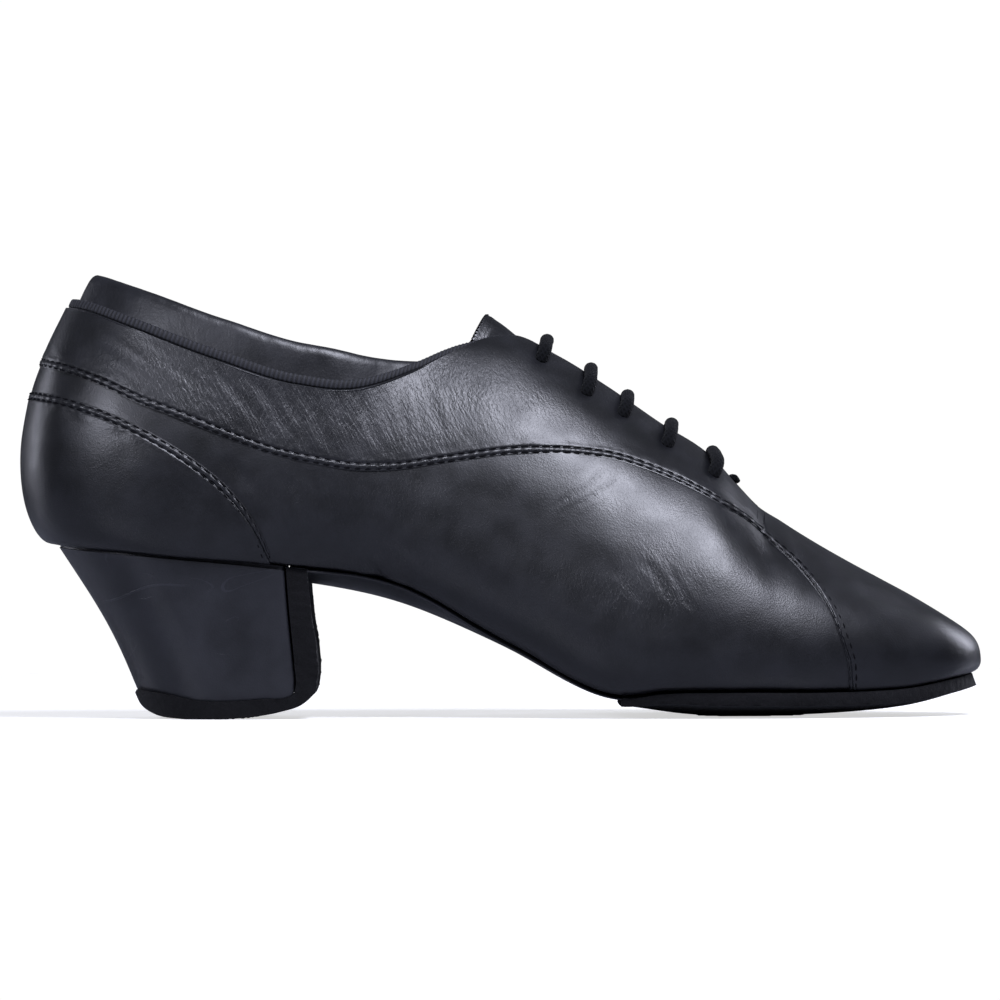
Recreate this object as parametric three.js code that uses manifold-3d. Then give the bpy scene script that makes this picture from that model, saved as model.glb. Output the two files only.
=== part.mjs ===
// A man's latin dance shoe for the left foot: a soft black leather oxford with five lace bars,
// a padded collar behind a ribbed binding, a split suede sole and a suede-faced cuban heel.
// Millimetres. X runs from the heel to the toe, +Y is the outer (lateral) side, +Z is up.
import * as THREE from "three";
import { mergeVertices } from "three/addons/utils/BufferGeometryUtils.js";
import Module from "manifold-3d";

const wasm = await Module();
wasm.setup();

// Driving sizes of the last and its upper.
const LENGTH = 285; // heel curve to toe tip
const BALL_WIDTH = 97; // widest place of the upper
const TREAD_WIDTH = 85; // widest place of the feather line, where the upper turns under
const SEAT_HEIGHT = 52; // underside of the upper at the back of the heel
const BACK_HEIGHT = 122; // leather edge at the back seam
const WIDEST_HEIGHT = 76; // fullest place of the back curve
const TOE_SWING = 4; // how far the toe tip leans to the inner side

// Driving sizes of the pieces.
const WALL = 2.0; // upper leather with its lining
const CLEARANCE = 0.3; // glue line between pieces
const LASTING_MARGIN = 9; // upper turned under the foot
const LAP_STEP = 0.5; // step where one panel laps over the next
const LAP_BITE = 0.7; // how deep a lapped panel is fused into the wall
const INSOLE_THICKNESS = 2.2;
const INSOLE_INSET = 3.6;
const SOLE_GAP = 0.55; // soles to the upper
const TREAD_THICKNESS = 3.8;
const TREAD_FLAT = 0.25; // what lies closer to the floor than this lies flat on it
const TREAD_SKIVE = 2.4; // thickness of the tread at its back edge
const TREAD_OVERHANG = 1.0; // tread past the feather line
const WAIST_THICKNESS = 2.0;
const WAIST_EDGE = 0.9;
const HEEL_INSET = 1.6; // heel block inside the feather line
const HEEL_FRONT = 82; // breast of the leather-covered block
const HEEL_BASE_BACK = 34.5;
const HEEL_BASE_WIDTH = 47;
const HEEL_CORNER = 3.2; // round lower front corner of the block
const HEEL_TAIL = 2.2; // rise of the block's foot towards the back
const HEEL_BELLY = 2.5; // hollow of the back of the heel
const SUEDE_THICKNESS = 6.0; // suede strip down the breast and under the heel
const SUEDE_CORNER = 6.5;
const SUEDE_PROUD = 0.7; // strip past the sides of the block
const HEEL_ROCKER = 2.2; // rise of the strip towards the breast
const PADDING_GAP = 0.65; // padding to the wall
const COLLAR_THICKNESS = 4.4;
const COLLAR_RISE = 10.8; // padding above the leather edge at the back
const COLLAR_DEPTH = 20; // padding below the leather edge
const BINDING_HEIGHT = 3.2;
const BINDING_THICKNESS = 1.5;
const BINDING_END = 0.468; // share of the length
const TONGUE_THICKNESS = 2.0;
const TONGUE_HALF_WIDTH = 21;
const TONGUE_RISE = 11; // past the top of the facings
const TONGUE_REACH = 0.029; // behind the top of the facings, share of the length
const LACE_DIAMETER = 3.2;
const LACE_HOLE = 4.2;
const LACE_STAND_OFF = 0.4;

// The last in sections, from the heel curve (at 0) to the toe tip (at 1).
// inner, outer: half widths at the fullest level, in ball widths. featherIn, featherOut: half widths
// of the feather line, in tread widths. sole, edge: underside of the upper on the centre line and at
// the feather line, in seat heights. widest: height of the fullest level, in its height at the back.
const SECTIONS = [
  { at: 0.0, inner: 0.0, outer: 0.0, featherIn: 0.0, featherOut: 0.0, sole: 1.0, edge: 1.0, widest: 1.0 },
  { at: 0.04, inner: 0.247, outer: 0.247, featherIn: 0.224, featherOut: 0.224, sole: 0.966, edge: 0.972, widest: 0.985 },
  { at: 0.12, inner: 0.335, outer: 0.34, featherIn: 0.335, featherOut: 0.335, sole: 0.918, edge: 0.935, widest: 0.95 },
  { at: 0.25, inner: 0.342, outer: 0.361, featherIn: 0.34, featherOut: 0.347, sole: 0.84, edge: 0.872, widest: 0.885 },
  { at: 0.38, inner: 0.35, outer: 0.405, featherIn: 0.3, featherOut: 0.34, sole: 0.7, edge: 0.76, widest: 0.8 },
  { at: 0.5, inner: 0.4, outer: 0.465, featherIn: 0.318, featherOut: 0.39, sole: 0.432, edge: 0.412, widest: 0.58 },
  { at: 0.62, inner: 0.465, outer: 0.514, featherIn: 0.424, featherOut: 0.482, sole: 0.122, edge: 0.122, widest: 0.335 },
  { at: 0.66, inner: 0.482, outer: 0.516, featherIn: 0.46, featherOut: 0.499, sole: 0.092, edge: 0.146, widest: 0.3 },
  { at: 0.73, inner: 0.49, outer: 0.5, featherIn: 0.494, featherOut: 0.5, sole: 0.079, edge: 0.154, widest: 0.268 },
  { at: 0.83, inner: 0.44, outer: 0.425, featherIn: 0.453, featherOut: 0.44, sole: 0.09, edge: 0.152, widest: 0.24 },
  { at: 0.92, inner: 0.322, outer: 0.29, featherIn: 0.335, featherOut: 0.3, sole: 0.132, edge: 0.168, widest: 0.222 },
  { at: 0.975, inner: 0.205, outer: 0.18, featherIn: 0.21, featherOut: 0.182, sole: 0.205, edge: 0.218, widest: 0.22 },
  { at: 1.0, inner: 0.0, outer: 0.0, featherIn: 0.0, featherOut: 0.0, sole: 0.25, edge: 0.25, widest: 0.216 },
];
const FEATHER_BACK = 0.033; // shares of the length
const FEATHER_FRONT = 0.991;

// The top line: the collar's leather edge, then the facing edge, then the ridge of the vamp.
// rise: in back heights. spread: half opening, in ball widths. lean: slope of the wall there, from
// upright. full: how full the section above the fullest level is.
const TOP_LINE = [
  { at: 0.048, rise: 1.0, spread: 0.0, lean: 27, full: 0.45 },
  { at: 0.074, rise: 0.988, spread: 0.14, lean: 25, full: 0.45 },
  { at: 0.123, rise: 0.944, spread: 0.236, lean: 20, full: 0.45 },
  { at: 0.204, rise: 0.87, spread: 0.293, lean: 14, full: 0.42 },
  { at: 0.291, rise: 0.806, spread: 0.311, lean: 12, full: 0.4 },
  { at: 0.351, rise: 0.795, spread: 0.3, lean: 18, full: 0.4 },
  { at: 0.414, rise: 0.843, spread: 0.236, lean: 33, full: 0.42 },
  { at: 0.463, rise: 0.899, spread: 0.155, lean: 50, full: 0.44 },
  { at: 0.495, rise: 0.926, spread: 0.09, lean: 66, full: 0.46 },
  { at: 0.518, rise: 0.928, spread: 0.05, lean: 74, full: 0.47 },
  { at: 0.56, rise: 0.88, spread: 0.042, lean: 78, full: 0.48 },
  { at: 0.667, rise: 0.713, spread: 0.038, lean: 82, full: 0.5 },
  { at: 0.723, rise: 0.626, spread: 0.03, lean: 86, full: 0.52 },
  { at: 0.748, rise: 0.56, spread: 0.014, lean: 90, full: 0.53 },
  { at: 0.766, rise: 0.514, spread: 0.0, lean: 90, full: 0.54 },
  { at: 0.793, rise: 0.471, spread: 0.0, lean: 90, full: 0.55 },
  { at: 0.856, rise: 0.383, spread: 0.0, lean: 90, full: 0.56 },
  { at: 0.919, rise: 0.302, spread: 0.0, lean: 90, full: 0.57 },
  { at: 0.962, rise: 0.242, spread: 0.0, lean: 90, full: 0.58 },
];
const TOP_BACK = TOP_LINE[0].at;
const TOP_FRONT = TOP_LINE[TOP_LINE.length - 1].at;
const THROAT_END = 0.766; // where the facings meet
const FACING_TOP = 0.5;

// Seams from the side, as shares of the length and of the back height.
const UPPER_SEAM = [
  [0.017, 0.861], [0.082, 0.817], [0.135, 0.756], [0.187, 0.701], [0.27, 0.632], [0.375, 0.609],
  [0.5, 0.647], [0.563, 0.658], [0.605, 0.648], [0.656, 0.603], [0.709, 0.544], [0.751, 0.483],
  [0.792, 0.404], [0.823, 0.329], [0.845, 0.252], [0.858, 0.17], [0.863, 0.072],
];
const COUNTER_SEAM = [
  [0.009, 0.786], [0.041, 0.774], [0.082, 0.736], [0.145, 0.66], [0.187, 0.596], [0.213, 0.54],
  [0.239, 0.461], [0.255, 0.407], [0.261, 0.36],
];

// Lace holes: place along the length, and how far below the facing edge, in millimetres.
const LACE_ROWS = [0.543, 0.589, 0.628, 0.673, 0.722];
const HOLE_DROP = 7.5;

// How finely the forms are cut.
const AROUND = 36; // sections from heel to toe
const MARGIN_ROWS = 1;
const TURN_ROWS = 3;
const SIDE_ROWS = 9;
const SPACING_EASE = 0.25;

const INNER = -1;
const OUTER = 1;
const radians = THREE.MathUtils.degToRad;
const mix = THREE.MathUtils.lerp;
const clamp01 = (t) => THREE.MathUtils.clamp(t, 0, 1);
const smooth = (t) => THREE.MathUtils.smoothstep(t, 0, 1);

// Even steps of this angle go evenly round the ends of the last.
const angleOf = (share) => Math.acos(1 - 2 * clamp01(share)) / Math.PI;
const shareOf = (angle) => (1 - Math.cos(Math.PI * angle)) / 2;

// One column of a table, read with a smooth curve. An odd column starts and ends at nothing.
function reader(table, column, odd = false) {
  const first = table[0].at;
  const span = table[table.length - 1].at - first;
  const knots = table.map((row) => angleOf((row.at - first) / span));
  const values = table.map((row) => row[column]);
  const flip = odd ? -1 : 1;
  knots.unshift(-knots[1]);
  values.unshift(flip * values[1]);
  knots.push(2 - knots[knots.length - 2]);
  values.push(flip * values[values.length - 2]);
  const slopes = values.map((value, k) => {
    if (k === 0 || k === values.length - 1) return 0;
    const before = knots[k] - knots[k - 1];
    const after = knots[k + 1] - knots[k];
    const rise = (values[k] - values[k - 1]) / before;
    const next = (values[k + 1] - value) / after;
    return (rise * after + next * before) / (before + after);
  });
  return (angle) => {
    const a = clamp01(angle);
    let k = 1;
    while (k < knots.length - 3 && a > knots[k + 1]) k += 1;
    const step = knots[k + 1] - knots[k];
    const t = (a - knots[k]) / step;
    const t2 = t * t;
    const t3 = t2 * t;
    return (
      (2 * t3 - 3 * t2 + 1) * values[k] + (t3 - 2 * t2 + t) * step * slopes[k] +
      (3 * t2 - 2 * t3) * values[k + 1] + (t3 - t2) * step * slopes[k + 1]
    );
  };
}

const last = {
  inner: reader(SECTIONS, "inner", true),
  outer: reader(SECTIONS, "outer", true),
  featherIn: reader(SECTIONS, "featherIn", true),
  featherOut: reader(SECTIONS, "featherOut", true),
  sole: reader(SECTIONS, "sole"),
  edge: reader(SECTIONS, "edge"),
  widest: reader(SECTIONS, "widest"),
};
const top = {
  rise: reader(TOP_LINE, "rise"),
  spread: reader(TOP_LINE, "spread", true),
  lean: reader(TOP_LINE, "lean"),
  full: reader(TOP_LINE, "full"),
};

const swing = (x) => -TOE_SWING * smooth((x / LENGTH - 0.6) / 0.4);

// A point of the feather plane: cross is 0 on the centre line and 1 on the feather line.
function soleLevel(angle, side, cross) {
  const share = shareOf(angle);
  const x = LENGTH * mix(FEATHER_BACK, FEATHER_FRONT, share);
  const half = TREAD_WIDTH * (side === INNER ? last.featherIn(angle) : last.featherOut(angle));
  const z = SEAT_HEIGHT * mix(last.sole(angle), last.edge(angle), cross * cross);
  return new THREE.Vector3(x, swing(x) + side * half * cross, z);
}

function widestLevel(angle, side) {
  const x = LENGTH * shareOf(angle);
  const half = BALL_WIDTH * (side === INNER ? last.inner(angle) : last.outer(angle));
  return new THREE.Vector3(x, swing(x) + side * half, WIDEST_HEIGHT * last.widest(angle));
}

const topX = (angle) => LENGTH * mix(TOP_BACK, TOP_FRONT, shareOf(angle));
const topAngle = (share) => angleOf((share - TOP_BACK) / (TOP_FRONT - TOP_BACK));
const isRidge = (angle) => topX(angle) >= THROAT_END * LENGTH - 1e-6;

function topLevel(angle, side) {
  const x = topX(angle);
  const half = isRidge(angle) ? 0 : BALL_WIDTH * Math.max(top.spread(angle), 0);
  return new THREE.Vector3(x, swing(x) + side * half, BACK_HEIGHT * top.rise(angle));
}

function bezier(a, b, c, d, t) {
  const s = 1 - t;
  return a.clone().multiplyScalar(s * s * s)
    .addScaledVector(b, 3 * s * s * t)
    .addScaledVector(c, 3 * s * t * t)
    .addScaledVector(d, t * t * t);
}

// The outside of the upper. Around goes 0 to 1 along the inner side and on to 2 back along the
// outer side. Up goes 0 to 1 over the lasting margin, to 2 round the turn, to 3 up the side.
const ROUND = 0.5523; // handle of a quarter circle
function outside(around, up) {
  const turn = ((around % 2) + 2) % 2;
  const side = turn <= 1 ? INNER : OUTER;
  const angle = turn <= 1 ? turn : 2 - turn;
  if (up <= 1) {
    const whole = soleLevel(angle, side, 1);
    const centre = new THREE.Vector3(mix(LASTING_MARGIN * 3, LENGTH - LASTING_MARGIN * 3, shareOf(angle)), 0, 0);
    centre.y = swing(centre.x);
    const inward = centre.sub(whole).setZ(0);
    const reach = Math.max(inward.length(), LASTING_MARGIN);
    const cross = 1 - ((1 - up) * LASTING_MARGIN) / reach;
    const point = whole.clone().addScaledVector(inward, 1 - cross);
    const along = (point.x / LENGTH - FEATHER_BACK) / (FEATHER_FRONT - FEATHER_BACK);
    point.z = soleLevel(angleOf(along), side, cross).z;
    return point;
  }
  const wide = widestLevel(angle, side);
  if (up <= 2) {
    const low = soleLevel(angle, side, 1);
    const lowHandle = low.clone().add(wide.clone().sub(low).setZ(0).multiplyScalar(ROUND));
    const wideHandle = wide.clone().setZ(mix(wide.z, low.z, ROUND));
    return bezier(low, lowHandle, wideHandle, wide, up - 1);
  }
  const high = topLevel(angle, side);
  const inward = high.clone().sub(wide).setZ(0);
  const reach = inward.length();
  inward.normalize();
  const step = 1e-3;
  const before = topLevel(Math.max(angle - step, 0), side);
  const after = topLevel(Math.min(angle + step, 1), side);
  const fall = (after.z - before.z) / Math.max(after.x - before.x, 1e-6);
  const lean = radians(top.lean(angle));
  const full = top.full(angle);
  const size = mix(high.z - wide.z, reach, Math.sin(lean)) * full;
  const topHandle = high.clone().addScaledVector(inward, -size * Math.sin(lean));
  topHandle.z -= size * (Math.cos(lean) + fall * inward.x * Math.sin(lean));
  const wideHandle = wide.clone().setZ(mix(wide.z, high.z, full));
  return bezier(wide, wideHandle, topHandle, high, up - 2);
}

function normalAt(around, up) {
  const step = 2e-3;
  const across = outside(around + step, up).sub(outside(around - step, up));
  const low = Math.max(up - step, 0);
  const high = Math.min(up + step, 3);
  const upward = outside(around, high).sub(outside(around, low));
  return across.cross(upward).normalize();
}

// The upper's surface moved in by a depth, or out where the depth is negative.
function layer(around, up, depth) {
  const onRidge = up >= 3 && isRidge(around <= 1 ? around : 2 - around);
  const place = onRidge && around > 1 ? 2 - around : around;
  const normal = normalAt(place, up);
  if (onRidge) normal.setY(0).normalize();
  return outside(place, up).addScaledVector(normal, -depth);
}

const columns = [];
for (let k = 0; k <= AROUND; k += 1) {
  const t = k / AROUND;
  columns.push(t + (SPACING_EASE * Math.sin(2 * Math.PI * t)) / (2 * Math.PI));
}
const aroundSteps = [...columns, ...columns.slice(1, -1).reverse().map((angle) => 2 - angle)];

// Triangles between grids of points, merged into one closed body.
class Skin {
  constructor() {
    this.positions = [];
  }

  triangle(a, b, c) {
    if (a.distanceTo(b) < 1e-3 || b.distanceTo(c) < 1e-3 || c.distanceTo(a) < 1e-3) return;
    this.positions.push(a.x, a.y, a.z, b.x, b.y, b.z, c.x, c.y, c.z);
  }

  quad(a, b, c, d) {
    this.triangle(a, b, c);
    this.triangle(a, c, d);
  }

  // Rows of points, each row as long as the others.
  grid(rows, closed = false, flip = false) {
    rows.slice(1).forEach((row, i) => {
      const below = rows[i];
      const count = closed ? row.length : row.length - 1;
      for (let j = 0; j < count; j += 1) {
        const k = (j + 1) % row.length;
        if (flip) this.quad(below[j], row[j], row[k], below[k]);
        else this.quad(below[j], below[k], row[k], row[j]);
      }
    });
  }

  fan(loop, flip = false) {
    const centre = loop.reduce((sum, p) => sum.add(p), new THREE.Vector3()).divideScalar(loop.length);
    loop.forEach((p, i) => {
      const next = loop[(i + 1) % loop.length];
      if (flip) this.triangle(centre, next, p);
      else this.triangle(centre, p, next);
    });
  }

  geometry() {
    const raw = new THREE.BufferGeometry();
    raw.setAttribute("position", new THREE.Float32BufferAttribute(this.positions, 3));
    return mergeVertices(raw, 1e-3);
  }
}

function solidOf(geometry) {
  const bare = new THREE.BufferGeometry();
  bare.setAttribute("position", geometry.getAttribute("position"));
  if (geometry.index) bare.setIndex(geometry.index);
  const merged = mergeVertices(bare, 1e-3);
  const mesh = new wasm.Mesh({
    numProp: 3,
    vertProperties: merged.attributes.position.array,
    triVerts: new Uint32Array(merged.index.array),
  });
  return new wasm.Manifold(mesh);
}

function geometryOf(solid) {
  const mesh = solid.getMesh();
  const geometry = new THREE.BufferGeometry();
  geometry.setAttribute("position", new THREE.BufferAttribute(mesh.vertProperties, 3));
  geometry.setIndex(new THREE.BufferAttribute(mesh.triVerts, 1));
  return geometry;
}

// A wall between two grids of rows that lie over each other, closed at its four sides.
function slab(over, under) {
  const skin = new Skin();
  skin.grid(over);
  skin.grid(under, false, true);
  const side = (a, b, flip) => skin.grid([a, b], false, flip);
  side(over[0], under[0], true);
  side(over[over.length - 1], under[under.length - 1], false);
  side(over.map((row) => row[0]), under.map((row) => row[0]), false);
  side(over.map((row) => row[row.length - 1]), under.map((row) => row[row.length - 1]), true);
  return skin.geometry();
}

// A tube through closed loops of points, with a cap at each end.
function tube(loops) {
  const skin = new Skin();
  skin.grid(loops, true);
  skin.fan(loops[0], true);
  skin.fan(loops[loops.length - 1]);
  return skin.geometry();
}

// A wall of the upper between two depths, over the rows given.
function shell(rows, outerDepth, innerDepth) {
  const over = rows.map((up) => aroundSteps.map((around) => layer(around, up, outerDepth(up))));
  const under = rows.map((up) => aroundSteps.map((around) => layer(around, up, innerDepth(up))));
  const skin = new Skin();
  skin.grid(over, true);
  skin.grid(under, true, true);
  skin.grid([over[0], under[0]], true, true);
  const highOver = over[over.length - 1];
  const highUnder = under[under.length - 1];
  aroundSteps.forEach((around, j) => {
    const k = (j + 1) % aroundSteps.length;
    const ridge = (turn) => isRidge(turn <= 1 ? turn : 2 - turn);
    if (ridge(around) && ridge(aroundSteps[k])) return;
    skin.quad(highOver[j], highOver[k], highUnder[k], highUnder[j]);
  });
  return skin.geometry();
}

const upRows = [];
for (let k = 0; k < MARGIN_ROWS; k += 1) upRows.push(k / MARGIN_ROWS);
for (let k = 0; k < TURN_ROWS; k += 1) upRows.push(1 + k / TURN_ROWS);
for (let k = 0; k <= SIDE_ROWS; k += 1) upRows.push(2 + k / SIDE_ROWS);

// The side panel is the lowest layer: everything outside its two seams laps over it.
function sidePanelPrism() {
  const far = 0.1;
  const outline = [
    [-far, UPPER_SEAM[0][1]],
    ...UPPER_SEAM,
    [UPPER_SEAM[UPPER_SEAM.length - 1][0], -far],
    [COUNTER_SEAM[COUNTER_SEAM.length - 1][0], -far],
    ...[...COUNTER_SEAM].reverse(),
    [-far, COUNTER_SEAM[0][1]],
  ];
  return sidePrism(outline.map(([x, z]) => [x * LENGTH, z * BACK_HEIGHT]));
}

// Place and direction of a lace hole, below the facing edge.
function laceHole(row, side) {
  const angle = topAngle(row);
  const around = side === INNER ? angle : 2 - angle;
  const edge = outside(around, 3);
  let up = 3;
  while (outside(around, up).distanceTo(edge) < HOLE_DROP) up -= 0.005;
  return { around, up, point: outside(around, up), normal: normalAt(around, up) };
}

function upper() {
  const rising = (up) => smooth((up - 1) / 0.4);
  const wall = shell(upRows, (up) => LAP_STEP * rising(up), () => WALL);
  const lapRows = upRows.filter((up) => up >= 1);
  const lap = shell(lapRows, (up) => LAP_STEP * (1 - rising(up)), () => LAP_STEP + LAP_BITE);
  let solid = solidOf(wall).add(solidOf(lap).subtract(sidePanelPrism()));
  for (const row of LACE_ROWS) {
    for (const side of [INNER, OUTER]) {
      const hole = laceHole(row, side);
      const punch = new THREE.CylinderGeometry(LACE_HOLE / 2, LACE_HOLE / 2, 4 * WALL, 10);
      const turn = new THREE.Quaternion().setFromUnitVectors(new THREE.Vector3(0, 1, 0), hole.normal);
      punch.applyQuaternion(turn).translate(hole.point.x, hole.point.y, hole.point.z);
      solid = solid.subtract(solidOf(punch));
    }
  }
  return geometryOf(solid);
}

// Padded collar: inside the wall, from one facing top round the back to the other.
const COLLAR_SECTION = [
  // out: across the padding, 0 at the wall. up: 0 at its foot, 1 at its top.
  { out: 0.0, up: 0.0 }, { out: 0.0, up: 0.5 }, { out: 0.0, up: 0.86 }, { out: 0.25, up: 0.97 },
  { out: 0.55, up: 1.0 }, { out: 0.85, up: 0.95 }, { out: 1.0, up: 0.82 }, { out: 0.95, up: 0.5 },
  { out: 0.5, up: 0.1 },
];

const collarShare = (around) => {
  const angle = around <= 1 ? around : 2 - around;
  return clamp01(topX(angle) / (FACING_TOP * LENGTH));
};

function collarSteps(endShare) {
  const end = topAngle(endShare);
  const inner = columns.filter((angle) => angle < end - 0.005);
  const oneSide = [...inner, end];
  return [...oneSide.slice(1).reverse(), ...oneSide.map((angle) => (angle === 0 ? 0 : 2 - angle))];
}

// The direction in which the wall rises at the top line.
function wallUp(around) {
  return layer(around, 3, 0).sub(layer(around, 2.9, 0)).normalize();
}

function collarPadding() {
  const loops = collarSteps(0.462).map((around) => {
    const share = collarShare(around);
    const taper = 1 - smooth((share - 0.62) / 0.38);
    const rise = mix(-1.2, COLLAR_RISE, taper);
    const thickness = mix(1.8, COLLAR_THICKNESS, taper);
    const edge = layer(around, 3, WALL + PADDING_GAP);
    const up = wallUp(around);
    const inward = normalAt(around, 3).negate();
    let foot = 3;
    while (edge.distanceTo(layer(around, foot, WALL + PADDING_GAP)) < COLLAR_DEPTH && foot > 2.05) foot -= 0.02;
    return COLLAR_SECTION.map(({ out, up: level }) => {
      const height = mix(-COLLAR_DEPTH, rise, level);
      if (height > 0) return edge.clone().addScaledVector(up, height).addScaledVector(inward, out * thickness);
      const place = mix(3, foot, -height / COLLAR_DEPTH);
      return layer(around, place, WALL + PADDING_GAP + out * thickness);
    });
  });
  return tube(loops);
}

// Ribbed elastic binding: stands on the leather edge, outside the padding.
function collarBinding() {
  const loops = collarSteps(BINDING_END).map((around) => {
    const edge = layer(around, 3, WALL / 2 - 0.2);
    const up = wallUp(around);
    const outward = normalAt(around, 3);
    const half = BINDING_THICKNESS / 2;
    const corner = (out, height) => edge.clone().addScaledVector(outward, out).addScaledVector(up, height);
    const low = CLEARANCE + 0.1;
    const bulge = BINDING_HEIGHT * 0.3;
    return [
      corner(half, low),
      corner(half, low + BINDING_HEIGHT - bulge),
      corner(0, low + BINDING_HEIGHT),
      corner(-half, low + BINDING_HEIGHT - bulge),
      corner(-half, low),
    ];
  });
  return tube(loops);
}

// A point on the inside of the wall at a distance from the centre plane, or nothing past its edge.
function underWall(share, offset, depth) {
  const angle = topAngle(share);
  const around = offset < 0 ? angle : 2 - angle;
  const spreadAt = (up) => {
    const point = layer(around, up, depth);
    return Math.abs(point.y - swing(point.x));
  };
  let low = 2;
  let high = 3;
  if (spreadAt(high) > Math.abs(offset)) return null;
  for (let k = 0; k < 24; k += 1) {
    const half = (low + high) / 2;
    if (spreadAt(half) > Math.abs(offset)) low = half;
    else high = half;
  }
  return layer(around, high, depth);
}

// Tongue: lies under the facings, and arches up between them past their tops.
function tongue() {
  const offsets = [1, 0.84, 0.66, 0.48, 0.3, 0.12];
  const free = FACING_TOP + 0.012;
  const bottom = THROAT_END + 0.035;
  const line = (share, rise, depth) => {
    const edge = layer(topAngle(share), 3, depth);
    const far = layer(2 - topAngle(share), 3, depth);
    const centre = edge.clone().add(far).multiplyScalar(0.5);
    centre.z += rise;
    const wing = (side) => {
      const rim = side === INNER ? edge : far;
      let rest = { point: rim, offset: side * Math.max(Math.abs(rim.y - swing(rim.x)), 1) };
      return offsets.map((part) => {
        const offset = side * part * TONGUE_HALF_WIDTH;
        const point = underWall(share, offset, depth);
        if (point) {
          rest = { point, offset };
          return point;
        }
        const t = Math.abs(offset / rest.offset);
        const arch = new THREE.Vector3(mix(centre.x, rest.point.x, t), swing(centre.x) + offset, 0);
        arch.z = mix(centre.z, rest.point.z, t * t);
        return arch;
      });
    };
    return [...wing(INNER), centre, ...wing(OUTER).reverse()];
  };
  const rows = [];
  for (let k = 0; k <= 11; k += 1) rows.push([mix(bottom, free, k / 11), 0]);
  for (const t of [0.3, 0.65, 1]) rows.push([free - TONGUE_REACH * t, TONGUE_RISE * t]);
  const gap = WALL + CLEARANCE + 0.3;
  return slab(
    rows.map(([share, rise]) => line(share, rise, gap + rise * 0.22)),
    rows.map(([share, rise]) => line(share, rise, gap + rise * 0.22 + TONGUE_THICKNESS)),
  );
}

// A bed under or over the lasting margin, from one angle of the last to another. Rise and
// thickness are square to the slope of the sole, or upright.
function bed({ from, to, steps, inset, rise, thickness, across = 4, upright = false }) {
  const over = [];
  const under = [];
  for (let k = 0; k <= steps; k += 1) {
    const angle = mix(from, to, k / steps);
    const high = [];
    const low = [];
    for (let j = -across; j <= across; j += 1) {
      const side = j < 0 ? INNER : OUTER;
      const cross = Math.abs(j) / across;
      const point = soleLevel(angle, side, cross);
      const half = soleLevel(angle, side, 1).distanceTo(soleLevel(angle, side, 0));
      const scale = half > 1e-6 ? Math.max(half - inset, 0) / half : 0;
      const ahead = soleLevel(Math.min(angle + 0.01, 1), side, cross);
      const behind = soleLevel(Math.max(angle - 0.01, 0), side, cross);
      const slope = upright ? 0 : (ahead.z - behind.z) / Math.max(ahead.x - behind.x, 1e-6);
      const normal = new THREE.Vector3(-slope, 0, 1).normalize();
      point.y = swing(point.x) + (point.y - swing(point.x)) * scale;
      high.push(point.clone().addScaledVector(normal, rise));
      low.push(point.clone().addScaledVector(normal, rise - thickness(cross, k / steps, point)));
    }
    over.push(high.reverse());
    under.push(low.reverse());
  }
  return slab(over, under);
}

const BLUNT = 0.015; // a bed stops this far before the end of the last
const soleAngle = (x) => angleOf((x / LENGTH - FEATHER_BACK) / (FEATHER_FRONT - FEATHER_BACK));

function insole() {
  return bed({
    from: soleAngle(FEATHER_BACK * LENGTH + INSOLE_INSET + 1.5),
    to: soleAngle(FEATHER_FRONT * LENGTH - INSOLE_INSET - 1.5),
    steps: 20,
    inset: INSOLE_INSET,
    rise: WALL + CLEARANCE + 0.4 + INSOLE_THICKNESS,
    thickness: () => INSOLE_THICKNESS,
    across: 3,
  });
}

const SPLIT = 178; // where the tread meets the waist

function treadSole() {
  return bed({
    from: soleAngle(SPLIT),
    to: 1 - BLUNT,
    steps: 18,
    inset: -TREAD_OVERHANG,
    rise: -SOLE_GAP,
    thickness: (cross, share, point) => {
      const wanted = mix(TREAD_SKIVE, TREAD_THICKNESS, smooth(share / 0.2));
      const room = point.z - SOLE_GAP;
      return room - wanted < TREAD_FLAT ? room : wanted;
    },
  });
}

function waistCover() {
  return bed({
    from: soleAngle(HEEL_FRONT + SUEDE_THICKNESS + CLEARANCE),
    to: soleAngle(SPLIT - CLEARANCE),
    steps: 10,
    inset: 1.2,
    rise: -SOLE_GAP,
    thickness: (cross, share) =>
      mix(WAIST_THICKNESS, WAIST_EDGE, cross * cross) * mix(1, 0.6, smooth((share - 0.7) / 0.3)),
  });
}

// The outline of the heel at a level: 0 at the seat, 1 at the foot of the block.
function heelOutline(level, front, grow, count = 10) {
  const backTop = FEATHER_BACK * LENGTH + HEEL_INSET;
  const belly = HEEL_BELLY * Math.sin(Math.PI * clamp01(level));
  const back = mix(backTop, HEEL_BASE_BACK, Math.max(level, 0)) + belly - grow;
  const wideTop = TREAD_WIDTH * last.featherOut(soleAngle(HEEL_FRONT)) - HEEL_INSET;
  const waisted = Math.pow(Math.max(level, 0), 0.7);
  const half = mix(wideTop, HEEL_BASE_WIDTH / 2, waisted) + grow;
  const round = half * 1.08;
  const points = [];
  for (let k = 0; k <= count; k += 1) {
    const t = (Math.PI / 2) * (k / count);
    points.push([back + round * (1 - Math.cos(t)), half * Math.sin(t)]);
  }
  points.push([front, half * 0.985]);
  const mirrored = points.slice(1).reverse().map(([x, y]) => [x, -y]);
  return [...mirrored, ...points];
}

// Everything above the seat, to cut the heel pieces to it.
function aboveSeat() {
  const rise = SEAT_HEIGHT / 2;
  const form = bed({
    from: BLUNT,
    to: soleAngle(LENGTH * 0.42),
    steps: 24,
    inset: -LASTING_MARGIN,
    rise: rise,
    thickness: () => rise + CLEARANCE,
    across: 6,
    upright: true,
  });
  return solidOf(form);
}

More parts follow.
